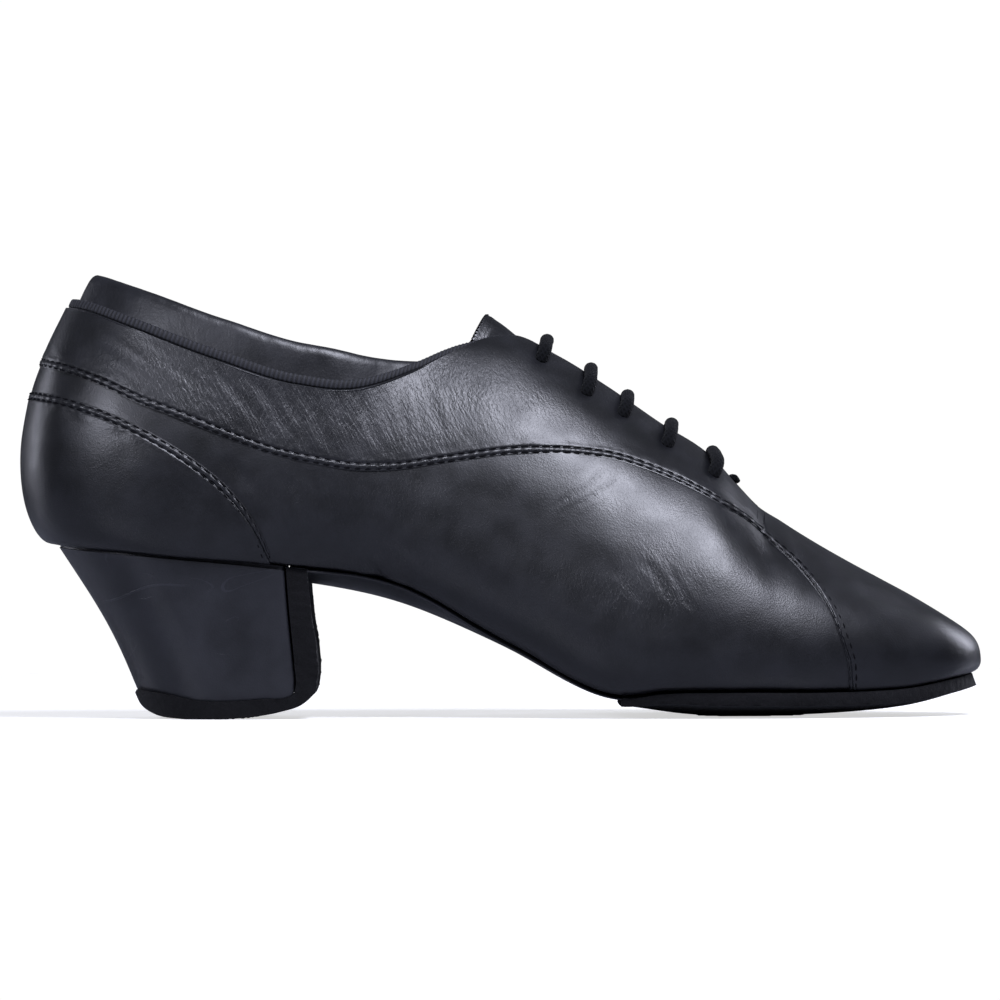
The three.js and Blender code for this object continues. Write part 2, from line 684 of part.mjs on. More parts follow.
function heelForm(front, grow, lowest) {
  const levels = [-0.3, 0, 0.12, 0.3, 0.5, 0.75, 1, lowest];
  const loops = levels.map((level) =>
    heelOutline(level, front, grow).map(([x, y]) => {
      return new THREE.Vector3(x, y, mix(SEAT_HEIGHT, SUEDE_THICKNESS, level));
    }),
  );
  return solidOf(tube(loops)).subtract(aboveSeat());
}

// A prism over the whole width, from an outline seen from the side.
function sidePrism(outline) {
  const shape = new THREE.Shape(outline.map(([x, z]) => new THREE.Vector2(x, z)));
  const prism = new THREE.ExtrudeGeometry(shape, { depth: 2 * BALL_WIDTH, bevelEnabled: false, steps: 1 });
  prism.rotateX(Math.PI / 2);
  prism.translate(0, BALL_WIDTH, 0);
  return solidOf(prism);
}

function arc(x, z, radius, from, to, count) {
  const points = [];
  for (let k = 0; k <= count; k += 1) {
    const t = radians(mix(from, to, k / count));
    points.push([x + radius * Math.cos(t), z + radius * Math.sin(t)]);
  }
  return points;
}

// The line between the block and its suede strip, from the back to the top of the breast.
function blockLine(grow) {
  const foot = SUEDE_THICKNESS - grow;
  const front = HEEL_FRONT + grow;
  const radius = HEEL_CORNER + grow;
  return [
    [HEEL_BASE_BACK - 20, foot + HEEL_TAIL * 4],
    [HEEL_BASE_BACK, foot + HEEL_TAIL],
    [mix(HEEL_BASE_BACK, HEEL_FRONT, 0.22), foot + HEEL_TAIL * 0.3],
    [mix(HEEL_BASE_BACK, HEEL_FRONT, 0.5), foot],
    ...arc(front - radius, foot + HEEL_TAIL * 0.3 + radius, radius, -90, 0, 4),
    [front, SEAT_HEIGHT],
  ];
}

function heelBlock() {
  const above = [...blockLine(0), [HEEL_FRONT, 2 * SEAT_HEIGHT], [-SEAT_HEIGHT, 2 * SEAT_HEIGHT]];
  return geometryOf(heelForm(HEEL_FRONT + 1, 0, 1.1).intersect(sidePrism(above)));
}

function heelSuede() {
  const front = HEEL_FRONT + SUEDE_THICKNESS;
  const flat = [mix(HEEL_BASE_BACK, front, 0.19), mix(HEEL_BASE_BACK, front, 0.59)];
  const outline = [
    [HEEL_BASE_BACK - SUEDE_PROUD * 1.5, 2 * SEAT_HEIGHT],
    [HEEL_BASE_BACK - SUEDE_PROUD * 1.5, SUEDE_THICKNESS + HEEL_TAIL],
    [HEEL_BASE_BACK + 1, SUEDE_THICKNESS * 0.55],
    [mix(HEEL_BASE_BACK, flat[0], 0.5), SUEDE_THICKNESS * 0.2],
    [flat[0], 0],
    [flat[1], 0],
    [mix(flat[1], front - SUEDE_CORNER, 0.5), HEEL_ROCKER * 0.35],
    ...arc(front - SUEDE_CORNER, HEEL_ROCKER * 0.9 + SUEDE_CORNER, SUEDE_CORNER, -86, 0, 6),
    [front, SEAT_HEIGHT * 0.5],
    [front - 2, SEAT_HEIGHT],
    [front - 2, 2 * SEAT_HEIGHT],
  ];
  const behind = [...blockLine(CLEARANCE), [HEEL_FRONT + CLEARANCE, 2 * SEAT_HEIGHT], [-SEAT_HEIGHT, 2 * SEAT_HEIGHT]];
  const whole = heelForm(front + 1, SUEDE_PROUD, 1.3).intersect(sidePrism(outline));
  return geometryOf(whole.subtract(sidePrism(behind)));
}

// A lace bar: straight over the throat, down to the hole on each side.
function laceBar(row) {
  const lift = LACE_DIAMETER / 2 + LACE_STAND_OFF;
  const wing = (side) => {
    const hole = laceHole(row, side);
    return [0, 0.5, 1].map((t) => layer(hole.around, mix(hole.up, 3, t), -lift));
  };
  const near = wing(INNER);
  const far = wing(OUTER).reverse();
  const middle = near[2].clone().add(far[0]).multiplyScalar(0.5);
  const path = new THREE.CatmullRomCurve3([...near, middle, ...far]);
  const steps = 12;
  const loops = [];
  for (let k = 0; k <= steps; k += 1) {
    const t = k / steps;
    const centre = path.getPoint(t);
    const along = path.getTangent(t);
    const forward = new THREE.Vector3(1, 0, 0).addScaledVector(along, -along.x).normalize();
    const up = along.clone().cross(forward).normalize();
    const loop = [];
    for (let j = 0; j < 8; j += 1) {
      const turn = (2 * Math.PI * j) / 8;
      const radius = LACE_DIAMETER / 2;
      loop.push(centre.clone().addScaledVector(forward, radius * Math.cos(turn)).addScaledVector(up, radius * Math.sin(turn)));
    }
    loops.push(loop);
  }
  return tube(loops);
}

const finish = {
  leather: new THREE.MeshStandardMaterial({ color: 0x1b1c22, roughness: 0.38, metalness: 0 }),
  lining: new THREE.MeshStandardMaterial({ color: 0x1d1e25, roughness: 0.45, metalness: 0 }),
  elastic: new THREE.MeshStandardMaterial({ color: 0x131418, roughness: 0.7, metalness: 0 }),
  suede: new THREE.MeshStandardMaterial({ color: 0x0e0e10, roughness: 0.95, metalness: 0 }),
  covered: new THREE.MeshStandardMaterial({ color: 0x14151a, roughness: 0.42, metalness: 0 }),
  cord: new THREE.MeshStandardMaterial({ color: 0x15161a, roughness: 0.85, metalness: 0 }),
};

const shoe = new THREE.Group();

function add(name, geometry, material) {
  const mesh = new THREE.Mesh(geometry, material);
  mesh.name = name;
  shoe.add(mesh);
  return mesh;
}

add("upper", upper(), finish.leather);
add("collar_padding", collarPadding(), finish.lining);
add("collar_binding", collarBinding(), finish.elastic);
add("tongue", tongue(), finish.leather);
add("insole", insole(), finish.lining);
add("tread_sole", treadSole(), finish.suede);
add("waist_cover", waistCover(), finish.covered);
add("heel_block", heelBlock(), finish.covered);
add("heel_suede", heelSuede(), finish.suede);
LACE_ROWS.forEach((row, k) => add(`lace_bar_${k + 1}`, laceBar(row), finish.cord));

// Stand the shoe on its soles, with the middle of its box over the origin.
const box = new THREE.Box3().setFromObject(shoe);
const middle = box.getCenter(new THREE.Vector3());
shoe.position.set(-middle.x, -middle.y, -box.min.z);

export default shoe;
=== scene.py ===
"""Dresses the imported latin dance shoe: leather panels, stitching, padding, laces, suede and light."""

import logging
import math
from dataclasses import dataclass, field
from enum import Enum
from typing import Callable, Sequence

import bmesh
import bpy
import numpy as np
from mathutils import Matrix, Vector


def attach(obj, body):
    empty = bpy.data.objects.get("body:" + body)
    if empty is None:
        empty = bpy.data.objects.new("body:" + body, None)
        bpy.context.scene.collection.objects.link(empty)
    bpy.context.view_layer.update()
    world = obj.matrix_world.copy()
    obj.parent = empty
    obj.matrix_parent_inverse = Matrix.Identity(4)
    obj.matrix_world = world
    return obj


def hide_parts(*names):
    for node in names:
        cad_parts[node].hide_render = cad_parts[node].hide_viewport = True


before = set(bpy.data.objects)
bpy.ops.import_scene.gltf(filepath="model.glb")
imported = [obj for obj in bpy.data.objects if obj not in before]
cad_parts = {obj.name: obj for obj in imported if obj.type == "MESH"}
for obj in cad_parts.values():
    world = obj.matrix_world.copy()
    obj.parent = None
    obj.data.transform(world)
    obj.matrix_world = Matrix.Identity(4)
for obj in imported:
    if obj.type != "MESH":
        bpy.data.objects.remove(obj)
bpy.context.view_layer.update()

MM = 0.001
HALVINGS = 22
FAR = 99.0
log = logging.getLogger("dance_shoe")
Array = np.ndarray


class Side(Enum):
    """The two sides of the foot, by the sign of Y."""

    INNER = -1
    OUTER = 1

    def turn(self, angle: Array | float) -> Array | float:
        """Returns the turn of the last at an angle of this side."""
        return angle if self is Side.INNER else 2 - angle


class Sewn(Enum):
    """The edge at which a panel is sewn down."""

    LOW = "low"
    HIGH = "high"
    NOWHERE = "nowhere"


def mix(a: Array | float, b: Array | float, t: Array | float) -> Array | float:
    """Returns the blend of a and b at t."""
    return a + (b - a) * t


def smooth(t: Array | float) -> Array | float:
    """Returns t eased from 0 to 1."""
    t = np.clip(t, 0.0, 1.0)
    return t * t * (3 - 2 * t)


def bump(distance: Array | float, width: float) -> Array | float:
    """Returns a soft hill of height 1 and the given half width."""
    return np.exp(-np.square(np.asarray(distance) / width))


def unit(vectors: Array) -> Array:
    """Returns the vectors at length 1."""
    size = np.linalg.norm(vectors, axis=-1, keepdims=True)
    return vectors / np.maximum(size, 1e-9)


def angle_of(share: Array | float) -> Array | float:
    """Returns the angle of the last at a share of its length."""
    return np.arccos(1 - 2 * np.clip(share, 0.0, 1.0)) / np.pi


def share_of(angle: Array | float) -> Array | float:
    """Returns the share of the length at an angle of the last."""
    return (1 - np.cos(np.pi * np.asarray(angle))) / 2


def eased(a: Array, b: Array, slope_a: Array, slope_b: Array, t: Array) -> Array:
    """Returns a smooth curve from a to b that leaves and arrives with the given slopes."""
    t2, t3 = t * t, t * t * t
    part = 3 * t2 - 2 * t3
    return (1 - part) * a + part * b + (t3 - 2 * t2 + t) * slope_a + (t3 - t2) * slope_b


class Profile:
    """One measure of the last along its length, read with a smooth curve."""

    def __init__(self, at: Sequence[float], values: Sequence[float], odd: bool = False) -> None:
        """Prepares the curve.

        Args:
            at: places along the length, in shares.
            values: the measure at those places.
            odd: whether the measure starts and ends at nothing.
        """
        at = np.asarray(at, float)
        knots = angle_of((at - at[0]) / (at[-1] - at[0]))
        values = np.asarray(values, float)
        flip = -1.0 if odd else 1.0
        self.knots = np.concatenate([[-knots[1]], knots, [2 - knots[-2]]])
        self.values = np.concatenate([[flip * values[1]], values, [flip * values[-2]]])
        step = np.diff(self.knots)
        rise = np.diff(self.values) / step
        inner = (rise[:-1] * step[1:] + rise[1:] * step[:-1]) / (step[:-1] + step[1:])
        self.slopes = np.concatenate([[0.0], inner, [0.0]])

    def __call__(self, angle: Array) -> Array:
        """Returns the measure at the angles."""
        angle = np.clip(angle, 0.0, 1.0)
        k = np.clip(np.searchsorted(self.knots, angle) - 1, 1, len(self.knots) - 3)
        step = self.knots[k + 1] - self.knots[k]
        ends = self.values[k], self.values[k + 1], step * self.slopes[k], step * self.slopes[k + 1]
        return eased(*ends, (angle - self.knots[k]) / step)


# Half widths in ball widths and tread widths, heights in seat heights and in the widest height.
SECTION_COLUMNS = ("at", "inner", "outer", "feather_in", "feather_out", "sole", "edge", "widest")
SECTIONS = (
    (0.0, 0.0, 0.0, 0.0, 0.0, 1.0, 1.0, 1.0),
    (0.04, 0.247, 0.247, 0.224, 0.224, 0.966, 0.972, 0.985),
    (0.12, 0.335, 0.34, 0.335, 0.335, 0.918, 0.935, 0.95),
    (0.25, 0.342, 0.361, 0.34, 0.347, 0.84, 0.872, 0.885),
    (0.38, 0.35, 0.405, 0.3, 0.34, 0.7, 0.76, 0.8),
    (0.5, 0.4, 0.465, 0.318, 0.39, 0.432, 0.412, 0.58),
    (0.62, 0.465, 0.514, 0.424, 0.482, 0.122, 0.122, 0.335),
    (0.66, 0.482, 0.516, 0.46, 0.499, 0.092, 0.146, 0.3),
    (0.73, 0.49, 0.5, 0.494, 0.5, 0.079, 0.154, 0.268),
    (0.83, 0.44, 0.425, 0.453, 0.44, 0.09, 0.152, 0.24),
    (0.92, 0.322, 0.29, 0.335, 0.3, 0.132, 0.168, 0.222),
    (0.975, 0.205, 0.18, 0.21, 0.182, 0.205, 0.218, 0.22),
    (1.0, 0.0, 0.0, 0.0, 0.0, 0.25, 0.25, 0.216),
)
# Height in back heights, half opening in ball widths, lean of the wall from upright, fullness.
TOP_COLUMNS = ("at", "rise", "spread", "lean", "full")
TOP_LINE = (
    (0.048, 1.0, 0.0, 27, 0.45),
    (0.074, 0.988, 0.14, 25, 0.45),
    (0.123, 0.944, 0.236, 20, 0.45),
    (0.204, 0.87, 0.293, 14, 0.42),
    (0.291, 0.806, 0.311, 12, 0.4),
    (0.351, 0.795, 0.3, 18, 0.4),
    (0.414, 0.843, 0.236, 33, 0.42),
    (0.463, 0.899, 0.155, 50, 0.44),
    (0.495, 0.926, 0.09, 66, 0.46),
    (0.518, 0.928, 0.05, 74, 0.47),
    (0.56, 0.88, 0.042, 78, 0.48),
    (0.667, 0.713, 0.038, 82, 0.5),
    (0.723, 0.626, 0.03, 86, 0.52),
    (0.748, 0.56, 0.014, 90, 0.53),
    (0.766, 0.514, 0.0, 90, 0.54),
    (0.793, 0.471, 0.0, 90, 0.55),
    (0.856, 0.383, 0.0, 90, 0.56),
    (0.919, 0.302, 0.0, 90, 0.57),
    (0.962, 0.242, 0.0, 90, 0.58),
)


@dataclass
class Last:
    """The foot form that every leather piece is pulled over, in millimetres.

    A place on it is a turn and a level. The turn goes 0 to 1 from heel to toe along the inner side
    and on to 2 back along the outer side. The level goes 0 to 1 over the margin turned under the
    foot, to 2 round the turn of the sole and to 3 up the side.
    """

    length: float = 285.0
    ball_width: float = 97.0
    tread_width: float = 85.0
    seat_height: float = 52.0
    back_height: float = 122.0
    widest_height: float = 76.0
    toe_swing: float = 4.0
    margin: float = 9.0
    throat_end: float = 0.766
    facing_top: float = 0.5
    ridge_end: float = 0.98
    feather_back: float = 0.033
    feather_front: float = 0.991
    shift: tuple[float, float, float] = (142.5, 0.7, 0.0)
    wall: float = 2.0
    profile: dict[str, Profile] = field(default_factory=dict)

    def __post_init__(self) -> None:
        """Reads the tables into smooth curves."""
        odd = {"inner", "outer", "feather_in", "feather_out", "spread"}
        for columns, table in ((SECTION_COLUMNS, SECTIONS), (TOP_COLUMNS, TOP_LINE)):
            values = list(zip(*table))
            for name, column in zip(columns[1:], values[1:]):
                self.profile[name] = Profile(values[0], column, name in odd)
        self.top_back, self.top_front = TOP_LINE[0][0], TOP_LINE[-1][0]

    def swing(self, x: Array) -> Array:
        """Returns how far the centre line leans to the inner side."""
        return -self.toe_swing * smooth((x / self.length - 0.6) / 0.4)

    def sole(self, angle: Array, side: Array, cross: Array) -> Array:
        """Returns points of the underside, from the centre line at cross 0 to the edge at 1."""
        x = self.length * mix(self.feather_back, self.feather_front, share_of(angle))
        inner, outer = self.profile["feather_in"](angle), self.profile["feather_out"](angle)
        half = self.tread_width * np.where(side < 0, inner, outer)
        rise = mix(self.profile["sole"](angle), self.profile["edge"](angle), cross * cross)
        y = self.swing(x) + side * half * cross
        return np.stack(np.broadcast_arrays(x, y, self.seat_height * rise), -1)

    def sole_angle(self, x: Array | float) -> Array | float:
        """Returns the angle of the underside at x."""
        return angle_of((x / self.length - self.feather_back) / (self.feather_front - self.feather_back))

    def widest(self, angle: Array, side: Array) -> Array:
        """Returns points of the fullest level."""
        x = self.length * share_of(angle)
        inner, outer = self.profile["inner"](angle), self.profile["outer"](angle)
        half = self.ball_width * np.where(side < 0, inner, outer)
        height = self.widest_height * self.profile["widest"](angle)
        return np.stack([x, self.swing(x) + side * half, height], -1)

    def top_x(self, angle: Array) -> Array:
        """Returns where along the shoe the top line is at the angles."""
        return self.length * mix(self.top_back, self.top_front, share_of(angle))

    def top_angle(self, share: Array | float) -> Array | float:
        """Returns the angle of the top line at a share of the length."""
        return angle_of((share - self.top_back) / (self.top_front - self.top_back))

    def ridge(self, angle: Array) -> Array:
        """Returns where the two sides meet at the top."""
        return self.top_x(angle) >= self.throat_end * self.length - 1e-6

    def top(self, angle: Array, side: Array) -> Array:
        """Returns points of the top line."""
        x = self.top_x(angle)
        half = self.ball_width * np.maximum(self.profile["spread"](angle), 0.0)
        half = np.where(self.ridge(angle), 0.0, half)
        return np.stack([x, self.swing(x) + side * half, self.back_height * self.profile["rise"](angle)], -1)

    @staticmethod
    def unrolled(turn: Array) -> tuple[Array, Array]:
        """Returns the angle of a turn, and its side as -1 or 1."""
        around = np.mod(turn, 2.0)
        near = around <= 1.0
        return np.where(near, around, 2.0 - around), np.where(near, -1.0, 1.0)

    def outside(self, turn: Array, level: Array) -> Array:
        """Returns points of the outside of the leather."""
        turn, level = np.broadcast_arrays(np.asarray(turn, float), np.asarray(level, float))
        angle, side = self.unrolled(turn)
        low = self.sole(angle, side, np.ones_like(angle))
        wide = self.widest(angle, side)
        high = self.top(angle, side)
        margin = self._margin(angle, side, low, np.clip(level, 0, 1))
        level = level[..., None]
        rounded = self._turn(low, wide, np.clip(level - 1, 0, 1))
        wall = self._side(angle, side, wide, high, np.clip(level - 2, 0, 1))
        return np.where(level <= 1, margin, np.where(level <= 2, rounded, wall))

    def _margin(self, angle: Array, side: Array, low: Array, up: Array) -> Array:
        """Returns the margin turned under the foot."""
        x = mix(self.margin * 3, self.length - self.margin * 3, share_of(angle))
        inward = np.stack([x - low[..., 0], self.swing(x) - low[..., 1]], -1)
        reach = np.maximum(np.linalg.norm(inward, axis=-1), self.margin)
        part = (1 - up) * self.margin / reach
        flat = low[..., :2] + inward * part[..., None]
        z = self.sole(self.sole_angle(flat[..., 0]), side, 1 - part)[..., 2]
        return np.concatenate([flat, z[..., None]], -1)

    @staticmethod
    def _arc(a: Array, b: Array, c: Array, d: Array, t: Array) -> Array:
        """Returns points of a cubic curve from a to d with handles b and c."""
        rest = 1 - t
        return a * rest**3 + b * 3 * rest * rest * t + c * 3 * rest * t * t + d * t**3

    def _turn(self, low: Array, wide: Array, up: Array) -> Array:
        """Returns the round turn from the sole to the fullest level."""
        handle = 0.5523
        low_handle = low.copy()
        low_handle[..., :2] += (wide - low)[..., :2] * handle
        wide_handle = wide.copy()
        wide_handle[..., 2] = mix(wide[..., 2], low[..., 2], handle)
        return self._arc(low, low_handle, wide_handle, wide, up)

    def _side(self, angle: Array, side: Array, wide: Array, high: Array, up: Array) -> Array:
        """Returns the side above the fullest level."""
        inward = (high - wide)[..., :2]
        reach = np.linalg.norm(inward, axis=-1)
        inward = inward / np.maximum(reach, 1e-9)[..., None]
        before = self.top(np.maximum(angle - 1e-3, 0), side)
        after = self.top(np.minimum(angle + 1e-3, 1), side)
        fall = (after[..., 2] - before[..., 2]) / np.maximum(after[..., 0] - before[..., 0], 1e-6)
        lean = np.radians(self.profile["lean"](angle))
        full = self.profile["full"](angle)
        size = mix(high[..., 2] - wide[..., 2], reach, np.sin(lean)) * full
        top_handle = high.copy()
        top_handle[..., :2] -= inward * (size * np.sin(lean))[..., None]
        top_handle[..., 2] -= size * (np.cos(lean) + fall * inward[..., 0] * np.sin(lean))
        wide_handle = wide.copy()
        wide_handle[..., 2] = mix(wide[..., 2], high[..., 2], full)
        return self._arc(wide, wide_handle, top_handle, high, up)

    def normal(self, turn: Array, level: Array) -> Array:
        """Returns the outward directions of the leather."""
        step = 2e-3
        across = self.outside(turn + step, level) - self.outside(turn - step, level)
        low, high = np.maximum(level - step, 0), np.minimum(level + step, 3)
        upward = self.outside(turn, high) - self.outside(turn, low)
        return unit(np.cross(across, upward))

    def layer(self, turn: Array, level: Array, depth: Array | float) -> Array:
        """Returns points moved in from the outside by a depth, or out where it is negative."""
        turn, level, depth = np.broadcast_arrays(
            np.asarray(turn, float), np.asarray(level, float), np.asarray(depth, float))
        angle, _ = self.unrolled(turn)
        on_ridge = (level >= 3) & self.ridge(angle)
        place = np.where(on_ridge, angle, turn)
        normal = self.normal(np.where(on_ridge, np.minimum(angle, self.ridge_end), turn), level)
        normal[..., 1] = np.where(on_ridge, 0.0, normal[..., 1])
        return self.outside(place, level) - unit(normal) * depth[..., None]

    def find(self, x: Array, z: Array, side: Side) -> tuple[Array, Array]:
        """Finds the places seen at x and z from the side.

        Args:
            x: distances from the heel.
            z: heights.
            side: which side of the foot.

        Returns:
            Turns and levels.
        """
        x, z = np.asarray(x, float), np.asarray(z, float)
        low, high = np.full_like(x, 1e-4), np.full_like(x, 1 - 1e-4)

        def level_at(angle: Array) -> Array:
            """Returns the levels at height z."""
            below, above = np.full_like(x, 1.0), np.full_like(x, 3.0)
            for _ in range(HALVINGS):
                middle = (below + above) / 2
                under = self.outside(side.turn(angle), middle)[..., 2] < z
                below, above = np.where(under, middle, below), np.where(under, above, middle)
            return (below + above) / 2

        for _ in range(HALVINGS):
            angle = (low + high) / 2
            behind = self.outside(side.turn(angle), level_at(angle))[..., 0] < x
            low, high = np.where(behind, angle, low), np.where(behind, high, angle)
        angle = (low + high) / 2
        return side.turn(angle), level_at(angle)

    def metres(self, points: Array) -> Array:
        """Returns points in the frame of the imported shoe, in metres."""
        return (points - np.asarray(self.shift)) * MM


def linear(hex_colour: str) -> tuple[float, float, float, float]:
    """Returns an sRGB hex colour as linear RGBA."""
    parts = [int(hex_colour[k:k + 2], 16) / 255 for k in (1, 3, 5)]
    return (*(p / 12.92 if p <= 0.04045 else ((p + 0.055) / 1.055) ** 2.4 for p in parts), 1.0)


class Nodes:
    """A tree of shader nodes in the making."""

    def __init__(self, tree: bpy.types.NodeTree) -> None:
        """Clears the tree."""
        self.tree = tree
        self.tree.nodes.clear()

    def add(self, kind: str, links: dict | None = None, out: int | str = 0,
            **settings: object) -> bpy.types.NodeSocket | None:
        """Adds a shader node.

        Args:
            kind: the node's type.
            links: by input name or number, a socket to link from or a value to set.
            out: the wanted output, by name or number.
            settings: properties of the node.

        Returns:
            The wanted output, or None from a node that ends the tree.
        """
        node = self.tree.nodes.new("ShaderNode" + kind)
        for name, value in settings.items():
            setattr(node, name, value)
        for key, value in (links or {}).items():
            if isinstance(value, bpy.types.NodeSocket):
                self.tree.links.new(value, node.inputs[key])
            else:
                node.inputs[key].default_value = value
        return node.outputs[out] if len(node.outputs) else None


class Finish(Nodes):
    """A material in the making: a principled surface, its coordinates and the nodes behind it."""

    def __init__(self, name: str) -> None:
        """Makes an empty material of that name."""
        self.material = bpy.data.materials.new(name)
        self.material.use_nodes = True
        super().__init__(self.material.node_tree)
        self.surface = self.add("BsdfPrincipled").node
        self.add("OutputMaterial", {"Surface": self.surface.outputs[0]})
        self.place = self.add("TexCoord", out="Object")

    def patches(self, size_mm: float, detail: float = 3.0, rough: float = 0.5, long: float = 1.0,
                lean: float = 0.0, twist: float = 0.0) -> bpy.types.NodeSocket:
        """Returns a soft random pattern.

        Args:
            size_mm: size of its patches.
            detail: layers of finer patches.
            rough: strength of the finer layers.
            long: how much longer than wide the patches are, upright in the side view.
            lean: how far they lean back, in radians.
            twist: how much the pattern is bent by itself.

        Returns:
            The pattern's socket.
        """
        turned = self.add("Mapping", {"Vector": self.place, "Rotation": (0, lean, 0)})
        sized = self.add("Mapping", {"Vector": turned, "Scale": (1, 0.5 + 0.5 / long, 1 / long)})
        return self.add("TexNoise", {"Vector": sized, "Scale": 1 / (size_mm * MM), "Detail": detail,
                                     "Roughness": rough, "Distortion": twist})

    def grain(self, size_mm: float) -> bpy.types.NodeSocket:
        """Returns the pebbled grain of leather: shallow cells broken up by a finer pattern."""
        sway = self.add("VectorMath", {0: self.patches(2.5, 2), 1: (0.4 * MM,) * 3}, operation="MULTIPLY")
        moved = self.add("VectorMath", {0: self.place, 1: sway}, operation="ADD")
        cells = self.add("TexVoronoi", {"Vector": moved, "Scale": 1 / (size_mm * MM)}, out="Distance")
        fine = self.patches(size_mm * 0.5, 2)
        return self.add("Math", {0: cells, 1: fine, 2: 0.25}, operation="MULTIPLY_ADD")

    def relief(self, *heights: tuple[bpy.types.NodeSocket, float]) -> None:
        """Stacks heights, each with its depth in millimetres, into the surface's normal."""
        normal = None
        for height, depth_mm in heights:
            links = {"Height": height, "Distance": depth_mm * MM, "Strength": 1.0}
            if normal is not None:
                links["Normal"] = normal
            normal = self.add("Bump", links)
        self.tree.links.new(normal, self.surface.inputs["Normal"])

    def set(self, **values: object) -> None:
        """Sets the surface's own sockets, by name with _ for a space."""
        for name, value in values.items():
            socket = self.surface.inputs[name.replace("_", " ")]
            if isinstance(value, bpy.types.NodeSocket):
                self.tree.links.new(value, socket)
            else:
                socket.default_value = value

    def shade(self, part: bpy.types.NodeSocket, low: str, high: str) -> None:
        """Colours the surface from one colour to another."""
        mixed = self.add("Mix", {0: part, 6: linear(low), 7: linear(high)}, out=2, data_type="RGBA")
        self.set(Base_Color=mixed)


@dataclass(frozen=True)
class NappaLeather:
    """Drum-dyed nappa, aniline black with a cool cast: fine pores, soft breaks where it bends.

    The mesh's crease value is 0 for taut and 1 for broken leather. Its UV map holds millimetres
    along and away from the sewn edge, for the pillows that the thread pulls up. Each of the puffs
    says how far from that edge it starts, tops, falls and ends, and how strong it is.
    """

    name: str = "black_nappa_leather"
    deep: str = "#08090c"
    worn: str = "#14151a"
    roughness: float = 0.36
    grain_mm: float = 0.5
    wrinkle_mm: float = 0.75
    lean: float = 0.42
    stitch_mm: float = 3.1
    puffs: tuple[tuple[float, ...], ...] = ((0.6, 1.05, 1.8, 2.3, 1.0), (2.45, 2.8, 3.0, 4.2, 0.3))

    def build(self) -> bpy.types.Material:
        """Returns the material."""
        coat = Finish(self.name)
        crease = coat.add("Attribute", out="Fac", attribute_name="crease")
        wide = coat.patches(9, 3)
        long_folds = coat.patches(self.wrinkle_mm, 2, 0.5, 6.0, self.lean, 0.3)
        cross_folds = coat.patches(self.wrinkle_mm, 2, 0.5, 3.0, self.lean - 0.7, 0.4)
        both = coat.add("Math", {0: cross_folds, 1: 0.5, 2: long_folds}, operation="MULTIPLY_ADD")
        rise = coat.add("MapRange", {0: both, 1: 0.55, 2: 0.98}, interpolation_type="SMOOTHSTEP")
        broken = coat.add("Math", {0: rise, 1: crease}, operation="MULTIPLY")
        tone = coat.add("MapRange", {0: wide, 1: 0.3, 2: 0.75, 3: 0.0, 4: 0.6},
                        interpolation_type="SMOOTHSTEP")
        part = coat.add("Math", {0: broken, 1: 0.3, 2: tone}, operation="MULTIPLY_ADD")
        coat.shade(part, self.deep, self.worn)
        least, most = self.roughness - 0.03, self.roughness + 0.05
        shine = coat.add("MapRange", {0: wide, 1: 0.3, 2: 0.7, 3: least, 4: most})
        dull = coat.add("Math", {0: crease, 1: 0.05, 2: shine}, operation="MULTIPLY_ADD")
        coat.set(Roughness=dull, IOR=1.5)
        pillows = self.pillows(coat)
        coat.relief((wide, 0.1), (broken, 0.11), (pillows, 0.15), (coat.grain(self.grain_mm), 0.045))
        return coat.material

    def pillows(self, coat: Finish) -> bpy.types.NodeSocket:
        """Returns the puffs between the rows of stitches and beside them."""
        uv = coat.add("UVMap", uv_map="seam")
        along, away = coat.add("SeparateXYZ", {0: uv}), coat.add("SeparateXYZ", {0: uv}, out=1)
        phase = coat.add("Math", {0: along, 1: 2 * math.pi / self.stitch_mm, 2: -math.pi / 2},
                         operation="MULTIPLY_ADD")
        wave = coat.add("Math", {0: phase}, operation="SINE")
        puff = coat.add("Math", {0: wave, 1: 0.5, 2: 0.5}, operation="MULTIPLY_ADD")
        bands = []
        for start, top, fall, end, size in self.puffs:
            up = coat.add("MapRange", {0: away, 1: start, 2: top}, interpolation_type="SMOOTHSTEP")
            down = coat.add("MapRange", {0: away, 1: fall, 2: end, 3: size, 4: 0.0},
                            interpolation_type="SMOOTHSTEP")
            bands.append(coat.add("Math", {0: up, 1: down}, operation="MULTIPLY"))
        band = coat.add("Math", {0: bands[0], 1: bands[1]}, operation="ADD")
        return coat.add("Math", {0: band, 1: puff}, operation="MULTIPLY")


